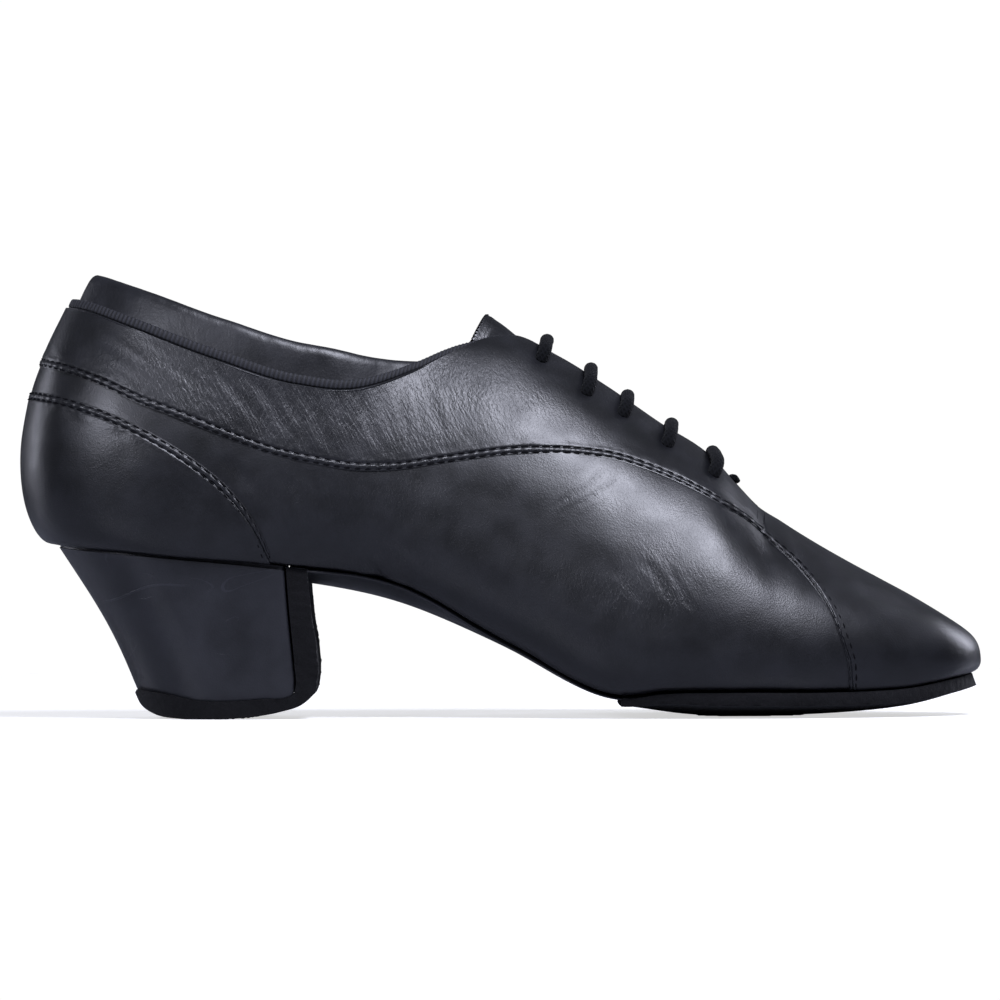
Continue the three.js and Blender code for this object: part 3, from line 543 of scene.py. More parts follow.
@dataclass(frozen=True)
class CoverLeather:
    """Thin calf pasted over heel and shank: nearly flat, satin, with faint scuffs."""

    name: str = "black_cover_leather"
    deep: str = "#101115"
    worn: str = "#24252b"
    roughness: float = 0.42

    def build(self) -> bpy.types.Material:
        """Returns the material."""
        coat = Finish(self.name)
        wide = coat.patches(14, 3)
        line = coat.patches(26, 1, 0.4, 0.4, 0.2, 0.4)
        near = coat.add("Math", {0: line, 1: 0.56, 2: 0.006}, operation="COMPARE")
        where = coat.add("MapRange", {0: coat.patches(18, 2), 1: 0.5, 2: 0.62})
        hairlines = coat.add("Math", {0: near, 1: where}, operation="MULTIPLY")
        marks = coat.add("Math", {0: hairlines, 1: self.scuff(coat)}, operation="ADD", use_clamp=True)
        tone = coat.add("MapRange", {0: wide, 1: 0.3, 2: 0.75, 3: 0.0, 4: 0.7})
        part = coat.add("Math", {0: marks, 1: 0.6, 2: tone}, operation="MULTIPLY_ADD")
        coat.shade(part, self.deep, self.worn)
        least, most = self.roughness - 0.04, self.roughness + 0.06
        coat.set(Roughness=coat.add("MapRange", {0: wide, 1: 0.3, 2: 0.7, 3: least, 4: most}))
        coat.relief((wide, 0.1), (marks, 0.07), (coat.grain(0.6), 0.03))
        return coat.material

    def scuff(self, coat: Finish) -> bpy.types.NodeSocket:
        """Returns the wavy line rubbed into the inner side of the heel."""
        x, y, z = (coat.add("SeparateXYZ", {0: coat.place}, out=k) for k in range(3))
        phase = coat.add("Math", {0: x, 1: 230.0}, operation="MULTIPLY")
        swing = coat.add("Math", {0: phase}, operation="SINE")
        slope = coat.add("Math", {0: x, 1: 0.18, 2: 0.0569}, operation="MULTIPLY_ADD")
        line = coat.add("Math", {0: swing, 1: 1.1 * MM, 2: slope}, operation="MULTIPLY_ADD")
        near = coat.add("Math", {0: z, 1: line, 2: 0.3 * MM}, operation="COMPARE")
        start = coat.add("MapRange", {0: x, 1: -0.121, 2: -0.113}, interpolation_type="SMOOTHSTEP")
        end = coat.add("MapRange", {0: x, 1: -0.096, 2: -0.09, 3: 1.0, 4: 0.0},
                       interpolation_type="SMOOTHSTEP")
        inner = coat.add("Math", {0: y, 1: 0.0}, operation="LESS_THAN")
        span = coat.add("Math", {0: start, 1: end}, operation="MULTIPLY")
        rubbed = coat.add("Math", {0: near, 1: span}, operation="MULTIPLY")
        return coat.add("Math", {0: rubbed, 1: inner}, operation="MULTIPLY")


@dataclass(frozen=True)
class LiningLeather:
    """Glazed goatskin lining over foam: small soft folds and a dull sheen."""

    name: str = "glazed_lining_leather"
    deep: str = "#0c0d11"
    worn: str = "#15161b"
    roughness: float = 0.42
    folds: float = 0.1

    def build(self) -> bpy.types.Material:
        """Returns the material."""
        coat = Finish(self.name)
        wide = coat.patches(8, 4)
        folds = coat.patches(2.2, 3, 0.5, 3.0, 0.15, 0.5)
        coat.shade(coat.add("MapRange", {0: wide, 1: 0.35, 2: 0.7}), self.deep, self.worn)
        least, most = self.roughness - 0.04, self.roughness + 0.06
        coat.set(Roughness=coat.add("MapRange", {0: wide, 1: 0.3, 2: 0.7, 3: least, 4: most}))
        coat.relief((wide, 0.12), (folds, self.folds), (coat.grain(0.8), 0.04))
        return coat.material


@dataclass(frozen=True)
class Suede:
    """Chrome-tanned split with its nap raised: light sinks into the fibres, so it is nearly black."""

    name: str = "black_sole_suede"
    deep: str = "#050507"
    nap: str = "#101013"
    fibre_mm: float = 0.5

    def build(self) -> bpy.types.Material:
        """Returns the material."""
        coat = Finish(self.name)
        fibres, clumps = coat.patches(self.fibre_mm, 4, 0.7), coat.patches(2.2, 3, 0.6)
        brushed = coat.add("Math", {0: fibres, 1: coat.patches(12, 2)}, operation="ADD")
        tone = coat.add("Math", {0: brushed, 1: 1.6, 2: -1.1}, operation="MULTIPLY_ADD", use_clamp=True)
        coat.shade(tone, self.deep, self.nap)
        coat.set(Roughness=0.97, Specular_IOR_Level=0.12, Sheen_Weight=0.06, Sheen_Roughness=0.6)
        coat.relief((clumps, 0.25), (fibres, 0.3))
        return coat.material


@dataclass(frozen=True)
class WovenCord:
    """Braided cotton and polyester round cord, black: matt yarns that cross as a fine herringbone.

    The mesh's UV map holds turns round the cord and millimetres along it.
    """

    name: str = "black_braided_cord"
    deep: str = "#060709"
    yarn: str = "#121317"
    turns: float = 8.0
    pitch_mm: float = 1.3

    def build(self) -> bpy.types.Material:
        """Returns the material."""
        coat = Finish(self.name)
        uv = coat.add("UVMap", uv_map="along")
        turned, along = coat.add("SeparateXYZ", {0: uv}), coat.add("SeparateXYZ", {0: uv}, out=1)
        around = coat.add("Math", {0: turned, 1: 2 * math.pi * self.turns}, operation="MULTIPLY")
        yarns = []
        for lay in (2 * math.pi / self.pitch_mm, -2 * math.pi / self.pitch_mm):
            phase = coat.add("Math", {0: along, 1: lay, 2: around}, operation="MULTIPLY_ADD")
            yarns.append(coat.add("Math", {0: phase}, operation="SINE"))
        crossed = coat.add("Math", {0: yarns[0], 1: yarns[1]}, operation="MAXIMUM")
        fuzz = coat.patches(0.4, 3, 0.7)
        # Partly painted shade: darker where the yarns dip between one another; partly random tone from the
        # fuzz.
        tone = coat.add("Math", {0: crossed, 1: fuzz}, operation="MULTIPLY", use_clamp=True)
        coat.shade(tone, self.deep, self.yarn)
        coat.set(Roughness=0.9, Specular_IOR_Level=0.12, Sheen_Weight=0.03, Sheen_Roughness=0.5)
        coat.relief((crossed, 0.09), (fuzz, 0.12))
        return coat.material


@dataclass(frozen=True)
class RibbedElastic:
    """Rib-knit elastic tape, matt: painted shade darkens the valleys between its ribs and a painted highlight
    lightens each crown.

    The mesh's crease value is the height over the rib, which sets that painted shade and highlight.
    """

    name: str = "ribbed_elastic_tape"
    deep: str = "#040405"
    crown: str = "#26272d"

    def build(self) -> bpy.types.Material:
        """Returns the material."""
        coat = Finish(self.name)
        fuzz = coat.patches(0.3, 3, 0.7)
        # Painted shade and highlight: dark in the rib's valleys, light on its crowns.
        coat.shade(coat.add("Attribute", out="Fac", attribute_name="crease"), self.deep, self.crown)
        coat.set(Roughness=0.66, Specular_IOR_Level=0.3, Sheen_Weight=0.03, Sheen_Roughness=0.5)
        coat.relief((fuzz, 0.07))
        return coat.material


@dataclass(frozen=True)
class Thread:
    """Bonded nylon sewing thread, black with a waxy glint."""

    name: str = "bonded_nylon_thread"
    deep: str = "#050507"
    glint: str = "#0b0b0e"

    def build(self) -> bpy.types.Material:
        """Returns the material."""
        coat = Finish(self.name)
        twist = coat.patches(0.3, 2, 0.6)
        coat.shade(twist, self.deep, self.glint)
        coat.set(Roughness=0.75, Specular_IOR_Level=0.08)
        coat.relief((twist, 0.05))
        return coat.material


def catmull(points: Sequence[Sequence[float]], step: float) -> Array:
    """Returns a smooth line through the points, cut at even steps."""
    points = np.asarray(points, float)
    along = travelled(points)
    slope = np.gradient(points, along, axis=0)
    fine = np.linspace(0, along[-1], max(int(along[-1] / step), 2) + 1)
    k = np.clip(np.searchsorted(along, fine, side="right") - 1, 0, len(points) - 2)
    span = (along[k + 1] - along[k])[:, None]
    t = (fine[:, None] - along[k][:, None]) / span
    return eased(points[k], points[k + 1], span * slope[k], span * slope[k + 1], t)


def travelled(points: Array) -> Array:
    """Returns the distance run along a line at each of its points."""
    return np.concatenate([[0.0], np.cumsum(np.linalg.norm(np.diff(points, axis=0), axis=-1))])


def crosswise(centre: Array) -> tuple[Array, Array]:
    """Returns the directions square to a line: the one nearest to the toe's, and the one over it."""
    along = unit(np.gradient(centre, axis=0))
    forward = unit(np.array([1.0, 0.0, 0.0]) - along * along[:, :1])
    return forward, unit(np.cross(along, forward))


class Workpiece:
    """A mesh on the bench, from its first primitive to its finished, dressed state."""

    def __init__(self, name: str) -> None:
        """Takes the object that was just added and names it."""
        self.obj = bpy.context.object
        self.obj.name = self.obj.data.name = name

    def _take(self) -> None:
        """Selects the piece alone and makes it the active one."""
        bpy.ops.object.select_all(action="DESELECT")
        self.obj.select_set(True)
        bpy.context.view_layer.objects.active = self.obj

    @classmethod
    def sheet(cls, name: str, points: Array) -> "Workpiece":
        """Starts from a grid primitive and pulls it to the points.

        Args:
            name: the piece's name.
            points: rows and columns of points, in metres.

        Returns:
            The workpiece, facing the side from which columns run right and rows run up.
        """
        rows, columns = points.shape[:2]
        bpy.ops.object.select_all(action="DESELECT")
        bpy.ops.mesh.primitive_grid_add(x_subdivisions=columns - 1, y_subdivisions=rows - 1, size=1)
        piece = cls(name)
        piece.obj.data.vertices.foreach_set("co", points.reshape(-1).astype(np.float32))
        piece.obj.data.update()
        return piece

    @classmethod
    def drawn(cls, name: str, loops: Sequence[Array]) -> "Workpiece":
        """Starts from a filled circle and extrudes it through closed loops of points, in metres."""
        bpy.ops.object.select_all(action="DESELECT")
        bpy.ops.mesh.primitive_circle_add(vertices=len(loops[0]), fill_type="NGON")
        piece = cls(name)
        piece.obj.data.vertices.foreach_set("co", np.asarray(loops[0]).reshape(-1).astype(np.float32))
        bpy.ops.object.mode_set(mode="EDIT")
        bpy.ops.mesh.select_all(action="SELECT")
        for before, loop in zip(loops, loops[1:]):
            bpy.ops.mesh.extrude_region_move()
            body = bmesh.from_edit_mesh(piece.obj.data)
            for vertex in next(face for face in body.faces if face.select).verts:
                vertex.co = loop[int(np.argmin(np.linalg.norm(before - np.array(vertex.co), axis=1)))]
            bmesh.update_edit_mesh(piece.obj.data)
        bpy.ops.object.mode_set(mode="OBJECT")
        piece.face_out()
        return piece

    def swapped(self, copies: Sequence[bpy.types.Object]) -> "Workpiece":
        """Puts its copies, joined into one piece, in its place."""
        name = self.obj.name
        bpy.data.objects.remove(self.obj)
        bpy.ops.object.select_all(action="DESELECT")
        for copy in copies:
            copy.select_set(True)
        bpy.context.view_layer.objects.active = copies[0]
        bpy.ops.object.join()
        return Workpiece(name)

    def edit(self, *steps: Callable[[], object]) -> "Workpiece":
        """Runs edit mode steps on all of the mesh."""
        self._take()
        bpy.ops.object.mode_set(mode="EDIT")
        for step in steps:
            bpy.ops.mesh.select_all(action="SELECT")
            step()
        bpy.ops.object.mode_set(mode="OBJECT")
        return self

    def weld(self, distance_mm: float = 0.02) -> "Workpiece":
        """Merges points that lie on each other."""
        return self.edit(lambda: bpy.ops.mesh.remove_doubles(threshold=distance_mm * MM))

    def close_ends(self) -> "Workpiece":
        """Fills the open ends of a tube."""
        return self.edit(lambda: bpy.ops.mesh.fill_holes(sides=0))

    def face_out(self) -> "Workpiece":
        """Turns all faces outwards."""
        return self.edit(lambda: bpy.ops.mesh.normals_make_consistent(inside=False))

    def seal(self, distance_mm: float = 0.02) -> "Workpiece":
        """Makes one closed skin of a rolled sheet."""
        return self.weld(distance_mm).close_ends().face_out()

    def modify(self, kind: str, **settings: object) -> "Workpiece":
        """Adds a modifier and applies it."""
        self._take()
        modifier = self.obj.modifiers.new(kind.title(), kind)
        for name, value in settings.items():
            setattr(modifier, name, value)
        bpy.ops.object.modifier_apply(modifier=modifier.name)
        return self

    def value(self, name: str, values: Array) -> "Workpiece":
        """Stores one value for each point."""
        layer = self.obj.data.attributes.new(name, "FLOAT", "POINT")
        layer.data.foreach_set("value", np.asarray(values, np.float32).reshape(-1))
        return self

    def map(self, name: str, u: Array, v: Array) -> "Workpiece":
        """Stores a UV map from one pair of values for each point."""
        mesh = self.obj.data
        while mesh.uv_layers:
            mesh.uv_layers.remove(mesh.uv_layers[0])
        corners = np.empty(len(mesh.loops), np.int32)
        mesh.loops.foreach_get("vertex_index", corners)
        pairs = np.stack([np.asarray(u).reshape(-1), np.asarray(v).reshape(-1)], -1)[corners]
        mesh.uv_layers.new(name=name).data.foreach_set("uv", pairs.reshape(-1).astype(np.float32))
        return self

    def dress(self, material: bpy.types.Material, slot: str, *nodes: str,
              sharp: float = 50) -> bpy.types.Object:
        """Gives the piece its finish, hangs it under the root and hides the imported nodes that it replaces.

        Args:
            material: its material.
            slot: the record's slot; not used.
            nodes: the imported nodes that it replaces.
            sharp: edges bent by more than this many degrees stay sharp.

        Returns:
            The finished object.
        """
        self._take()
        bpy.ops.object.shade_smooth_by_angle(angle=math.radians(sharp))
        self.obj.data.materials.clear()
        self.obj.data.materials.append(material)
        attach(self.obj, "root")
        if nodes:
            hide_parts(*nodes)
        count = sum(len(face.vertices) - 2 for face in self.obj.data.polygons)
        log.info("%s: %d triangles", self.obj.name, count)
        return self.obj


# The first row of stitches of each seam, seen from the side, in millimetres from the heel and from the floor.
UPPER_SEAM = (
    (4.4, 105.4), (11.2, 103.9), (24.0, 99.5), (37.3, 93.3), (45.8, 90.1), (60.7, 84.0), (75.0, 78.7),
    (90.2, 75.2), (97.0, 74.0), (109.0, 73.6), (126.1, 75.7), (145.5, 78.2), (157.4, 78.5), (168.0, 78.0),
    (176.1, 76.8), (186.0, 73.7), (197.4, 68.9), (207.5, 63.5), (218.0, 57.0), (223.1, 51.8), (228.0, 47.3),
    (232.2, 42.6), (237.6, 34.7), (240.6, 28.7), (242.7, 22.8), (244.2, 17.8), (244.9, 12.9), (244.6, 7.9),
)
COUNTER_SEAM = (
    (3.7, 96.8), (12.0, 95.3), (22.6, 92.0), (33.2, 87.6), (45.8, 80.7), (54.0, 75.1), (61.5, 68.9),
    (67.2, 62.3), (71.3, 55.7), (74.7, 47.4),
)
# The two short rows at the foot of the throat.
THROAT_ROWS = (((218.4, 62.9), (218.6, 60.6), (218.2, 58.1)), ((220.4, 61.9), (220.7, 59.6), (220.0, 56.3)))


@dataclass
class Edge:
    """A line on the last, as turns and levels, measured along its length."""

    last: Last
    turn: Array
    level: Array

    def __post_init__(self) -> None:
        """Measures the line."""
        self.run = travelled(self.last.outside(self.turn, self.level))

    @property
    def length(self) -> float:
        """Returns the line's length in millimetres."""
        return float(self.run[-1])

    def at(self, share: Array) -> tuple[Array, Array]:
        """Returns turns and levels at shares of the length."""
        wanted = np.asarray(share) * self.length
        return np.interp(wanted, self.run, self.turn), np.interp(wanted, self.run, self.level)

    def then(self, other: "Edge") -> "Edge":
        """Returns this line with the other after it."""
        turn = np.concatenate([self.turn, other.turn])
        return Edge(self.last, turn, np.concatenate([self.level, other.level]))

    def back(self) -> "Edge":
        """Returns the line run the other way."""
        return Edge(self.last, self.turn[::-1], self.level[::-1])


def shifted(line: Array, distance: float) -> Array:
    """Returns a line in the side view moved to its left by a distance."""
    along = unit(np.gradient(line, axis=0))
    return line + np.stack([-along[:, 1], along[:, 0]], -1) * distance


@dataclass
class Crease:
    """A soft trough in the leather, drawn in the side view, with the swell it pushes up."""

    start: tuple[float, float]
    end: tuple[float, float]
    width: float
    depth: float
    bow: float = 0.0

    def depth_at(self, x: Array, z: Array) -> Array:
        """Returns how far the leather sinks at places in the side view."""
        start_x, start_z = self.start
        span_x, span_z = self.end[0] - start_x, self.end[1] - start_z
        size = math.hypot(span_x, span_z)
        along = ((x - start_x) * span_x + (z - start_z) * span_z) / size**2
        off = ((x - start_x) * span_z - (z - start_z) * span_x) / size
        off = off - self.bow * 4 * along * (1 - along)
        fade = smooth((along + 0.08) / 0.3) * smooth((1.08 - along) / 0.3)
        aside = 1.9 * self.width
        swell = 0.5 * (bump(off - aside, self.width) + bump(off + aside, self.width))
        return self.depth * fade * (bump(off, self.width) - swell)


def murmur(points: Array, size: float, seed: int) -> Array:
    """Returns a soft random value, about -1 to 1, at points in millimetres, with swells of that size."""
    rng = np.random.default_rng(seed)
    total = np.zeros(points.shape[:-1])
    for _ in range(6):
        way = unit(rng.normal(size=3)) * 2 * math.pi / (size * rng.uniform(0.75, 1.5))
        total += np.sin(points @ way + rng.uniform(0, 2 * math.pi))
    return total / 3


# Distances from an edge, in millimetres: rows of points where it is sewn and where it is plain, and
# the two rows of stitches.
FINE = (0.0, 0.15, 0.3, 0.42, 0.55, 0.7, 0.9, 1.15, 1.45, 1.75, 2.0, 2.2, 2.35, 2.5, 2.7, 3.0, 3.5, 4.3, 5.2)
PLAIN = (0.0, 0.4, 1.0, 1.8)
ROWS = (0.55, 2.35)


@dataclass
class Panel:
    """A leather panel cut between a low and a high edge and pulled over the last.

    Its depth is how far it lies under its neighbours, its wave how much its surface swells. It is
    sewn at its low or high edge, or at none, up to sewn_to along that edge.
    """

    name: str
    last: Last
    low: Edge
    high: Edge
    depth: float = 0.0
    sewn: Sewn = Sewn.LOW
    columns: int = 300
    row_mm: float = 1.0
    thickness: float = 0.5
    wave: float = 0.22
    seed: int = 1
    creases: Sequence[Crease] = ()
    worn: Sequence[Sequence[float]] = ()
    holes: Sequence[Sequence[float]] = ()
    tuck_in: float = 0.0
    sewn_to: float = 1e9
    heel_at: float = 0.0

    def __post_init__(self) -> None:
        """Spaces the rows and columns."""
        share = np.linspace(0, 1, self.columns)
        (low_turn, low_level), (high_turn, high_level) = self.low.at(share), self.high.at(share)
        part = np.linspace(0, 1, 41)[:, None]
        run = self._reach(mix(low_turn, high_turn, part), mix(low_level, high_level, part))
        low_band = FINE if self.sewn is Sewn.LOW else PLAIN
        high_band = FINE if self.sewn is Sewn.HIGH else PLAIN
        bands = low_band[-1] + high_band[-1] + 2 * self.row_mm
        middle = max(int((run[-1].max() - bands) / self.row_mm), 3)
        rows = []
        for column in range(self.columns):
            total = run[-1, column]
            fit = min(1.0, total / bands)
            inner = np.linspace(low_band[-1] * fit, total - high_band[-1] * fit, middle + 2)[1:-1]
            below, above = np.array(low_band) * fit, total - np.array(high_band)[::-1] * fit
            wanted = np.concatenate([below, inner, above])
            rows.append(np.interp(wanted, run[:, column], part[:, 0]))
        share_up = np.array(rows).T
        self.turn = mix(low_turn, high_turn, share_up)
        self.level = mix(low_level, high_level, share_up)
        self.base = self.last.outside(self.turn, self.level)
        up = self._reach(self.turn, self.level)
        self.from_low, self.from_high = up, up[-1] - up
        sewn_edge = self.low if self.sewn is Sewn.LOW else self.high
        self.run = np.broadcast_to(share * sewn_edge.length, self.turn.shape)
        self.along = np.abs(self.run - self.heel_at)

    def _reach(self, turn: Array, level: Array) -> Array:
        """Returns the distance run up each column of places."""
        points = self.last.outside(turn, level)
        step = np.linalg.norm(np.diff(points, axis=0), axis=-1)
        return np.concatenate([np.zeros((1, points.shape[1])), np.cumsum(step, axis=0)])

    @property
    def off_seam(self) -> Array:
        """Returns the distance from the sewn edge at each point, or far where there is none."""
        if self.sewn is Sewn.NOWHERE:
            return np.full_like(self.from_low, FAR)
        off = self.from_low if self.sewn is Sewn.LOW else self.from_high
        return off + FAR * smooth((self.run - self.sewn_to) / 2)

    def relief(self) -> Array:
        """Returns how far each point sinks under the panel's level."""
        off = self.off_seam
        sink = self.depth + self.wave * 0.6 * murmur(self.base, 34, self.seed)
        calm = smooth(off / 4)
        sink += self.wave * 0.3 * calm * murmur(self.base, 13, self.seed + 1)
        sink += 0.3 * bump(off, 0.3)
        for row in ROWS:
            sink += 0.26 * bump(off - row, 0.3)
        sink -= 0.12 * bump(off - sum(ROWS) / 2, 0.6)
        sink += 0.12 * bump(off - 4.2, 1.3) * murmur(self.base, 7, self.seed + 2)
        if self.tuck_in:
            sink += 0.6 * smooth(1.3 - self.run / self.tuck_in)
        x, z = self.base[..., 0], self.base[..., 2]
        for crease in self.creases:
            sink += crease.depth_at(x, z) * smooth((off - 0.2) / 2.5)
        for hole_x, hole_z, *_ in self.holes:
            sink += 0.45 * bump(np.hypot(x - hole_x, z - hole_z), 2.5)
        return sink

    def broken(self) -> Array:
        """Returns how wrinkled the leather is at each point."""
        x, z = self.base[..., 0], self.base[..., 2]
        value = 0.03 + 0.03 * murmur(self.base, 30, self.seed + 5)
        for middle_x, middle_z, reach_x, reach_z, amount in self.worn:
            away = np.hypot((x - middle_x) / reach_x, (z - middle_z) / reach_z)
            value = value + amount * bump(away * (1 + 0.25 * murmur(self.base, 14, 9)), 1.0)
        for crease in self.creases:
            value = value + 0.35 * np.clip(crease.depth_at(x, z) / crease.depth, 0, 1)
        return np.clip(value, 0, 1)

    def cut(self, *more: "Panel") -> Workpiece:
        """Returns the panel, shaped and with its thickness, in one piece with others over its high edge."""
        layers = []
        for part in (self, *more):
            points = self.last.layer(part.turn, part.level, part.relief())
            values = np.stack([part.broken(), part.along, part.off_seam], -1)
            layers.append(np.concatenate([points, values], -1))
        joined = np.concatenate([layers[0], *(layer[::-1][1:] for layer in layers[1:])])
        piece = Workpiece.sheet(self.name, self.last.metres(joined[..., :3]))
        piece.value("crease", joined[..., 3]).map("seam", joined[..., 4], joined[..., 5])
        if more:
            piece.weld()
        return piece.modify("SOLIDIFY", thickness=self.thickness * MM, offset=-1.0)


# Where the leather has broken in wear: x and z of the middle, reach along and up, and how strongly.
QUARTER_WEAR = (
    (95.0, 92.0, 42.0, 17.0, 0.75), (48.0, 101.0, 36.0, 15.0, 0.35), (128.0, 96.0, 18.0, 13.0, 0.15),
)
PANEL_WEAR = (
    (172.0, 68.0, 14.0, 8.0, 0.08), (186.0, 36.0, 18.0, 11.0, 0.5), (100.0, 66.0, 30.0, 9.0, 0.4),
    (104.0, 42.0, 22.0, 8.0, 0.35),
)
# Creases by side, each from its upper end to its lower one, with its width, depth and bow.
QUARTER_CREASES = {
    Side.INNER: (
        ((60.0, 103.0), (72.0, 88.0), 1.3, 0.16, 0.6), ((70.0, 101.0), (80.0, 84.0), 1.2, 0.2, -0.5),
        ((78.0, 99.0), (84.0, 87.0), 1.0, 0.14, 0.4), ((86.0, 98.0), (92.0, 80.0), 1.4, 0.2, 0.7),
        ((94.0, 96.5), (97.0, 84.0), 1.1, 0.15, -0.4), ((102.0, 95.5), (107.0, 80.0), 1.3, 0.2, 0.5),
        ((113.0, 96.0), (115.0, 83.0), 1.2, 0.13, -0.6), ((122.0, 97.0), (126.0, 84.0), 1.4, 0.12, 0.6),
        ((24.0, 113.0), (40.0, 103.0), 1.3, 0.12, 0.5), ((36.0, 110.0), (54.0, 98.0), 1.4, 0.14, -0.5),
    ),
    Side.OUTER: (
        ((56.0, 104.0), (70.0, 90.0), 1.4, 0.18, -0.6), ((73.0, 100.0), (79.0, 83.0), 1.3, 0.16, 0.5),
        ((84.0, 98.5), (91.0, 85.0), 1.1, 0.18, 0.4), ((97.0, 96.0), (99.0, 81.0), 1.4, 0.2, -0.5),
        ((109.0, 95.5), (114.0, 82.0), 1.2, 0.15, 0.6), ((30.0, 111.0), (49.0, 100.0), 1.4, 0.14, 0.6),
    ),
}
PANEL_CREASES = {
    Side.INNER: (
        ((158.5, 62.5), (174.0, 73.2), 0.8, 0.1, 0.5), ((163.0, 61.5), (178.0, 71.5), 0.8, 0.07, 0.4),
        ((176.0, 45.0), (184.0, 34.0), 1.4, 0.16, 0.8), ((184.0, 46.5), (193.0, 33.0), 1.3, 0.18, -0.7),
        ((192.0, 44.0), (199.0, 31.5), 1.2, 0.14, 0.6), ((104.0, 46.0), (111.5, 37.5), 1.7, 0.38, 1.2),
        ((108.0, 50.0), (117.0, 40.0), 2.2, 0.22, -0.8), ((62.0, 77.0), (72.0, 66.0), 1.8, 0.14, 0.6),
        ((80.0, 71.0), (84.0, 58.0), 1.6, 0.12, -0.5),
    ),
    Side.OUTER: (
        ((155.0, 60.5), (171.0, 72.5), 1.2, 0.22, -0.5), ((173.0, 47.0), (183.0, 35.0), 1.4, 0.18, -0.7),
        ((186.0, 48.0), (192.0, 34.0), 1.3, 0.16, 0.7), ((196.0, 45.0), (203.0, 33.0), 1.3, 0.16, -0.5),
        ((99.0, 48.0), (108.0, 39.0), 1.8, 0.28, 1.0), ((66.0, 76.0), (75.0, 64.0), 1.8, 0.15, -0.6),
    ),
}


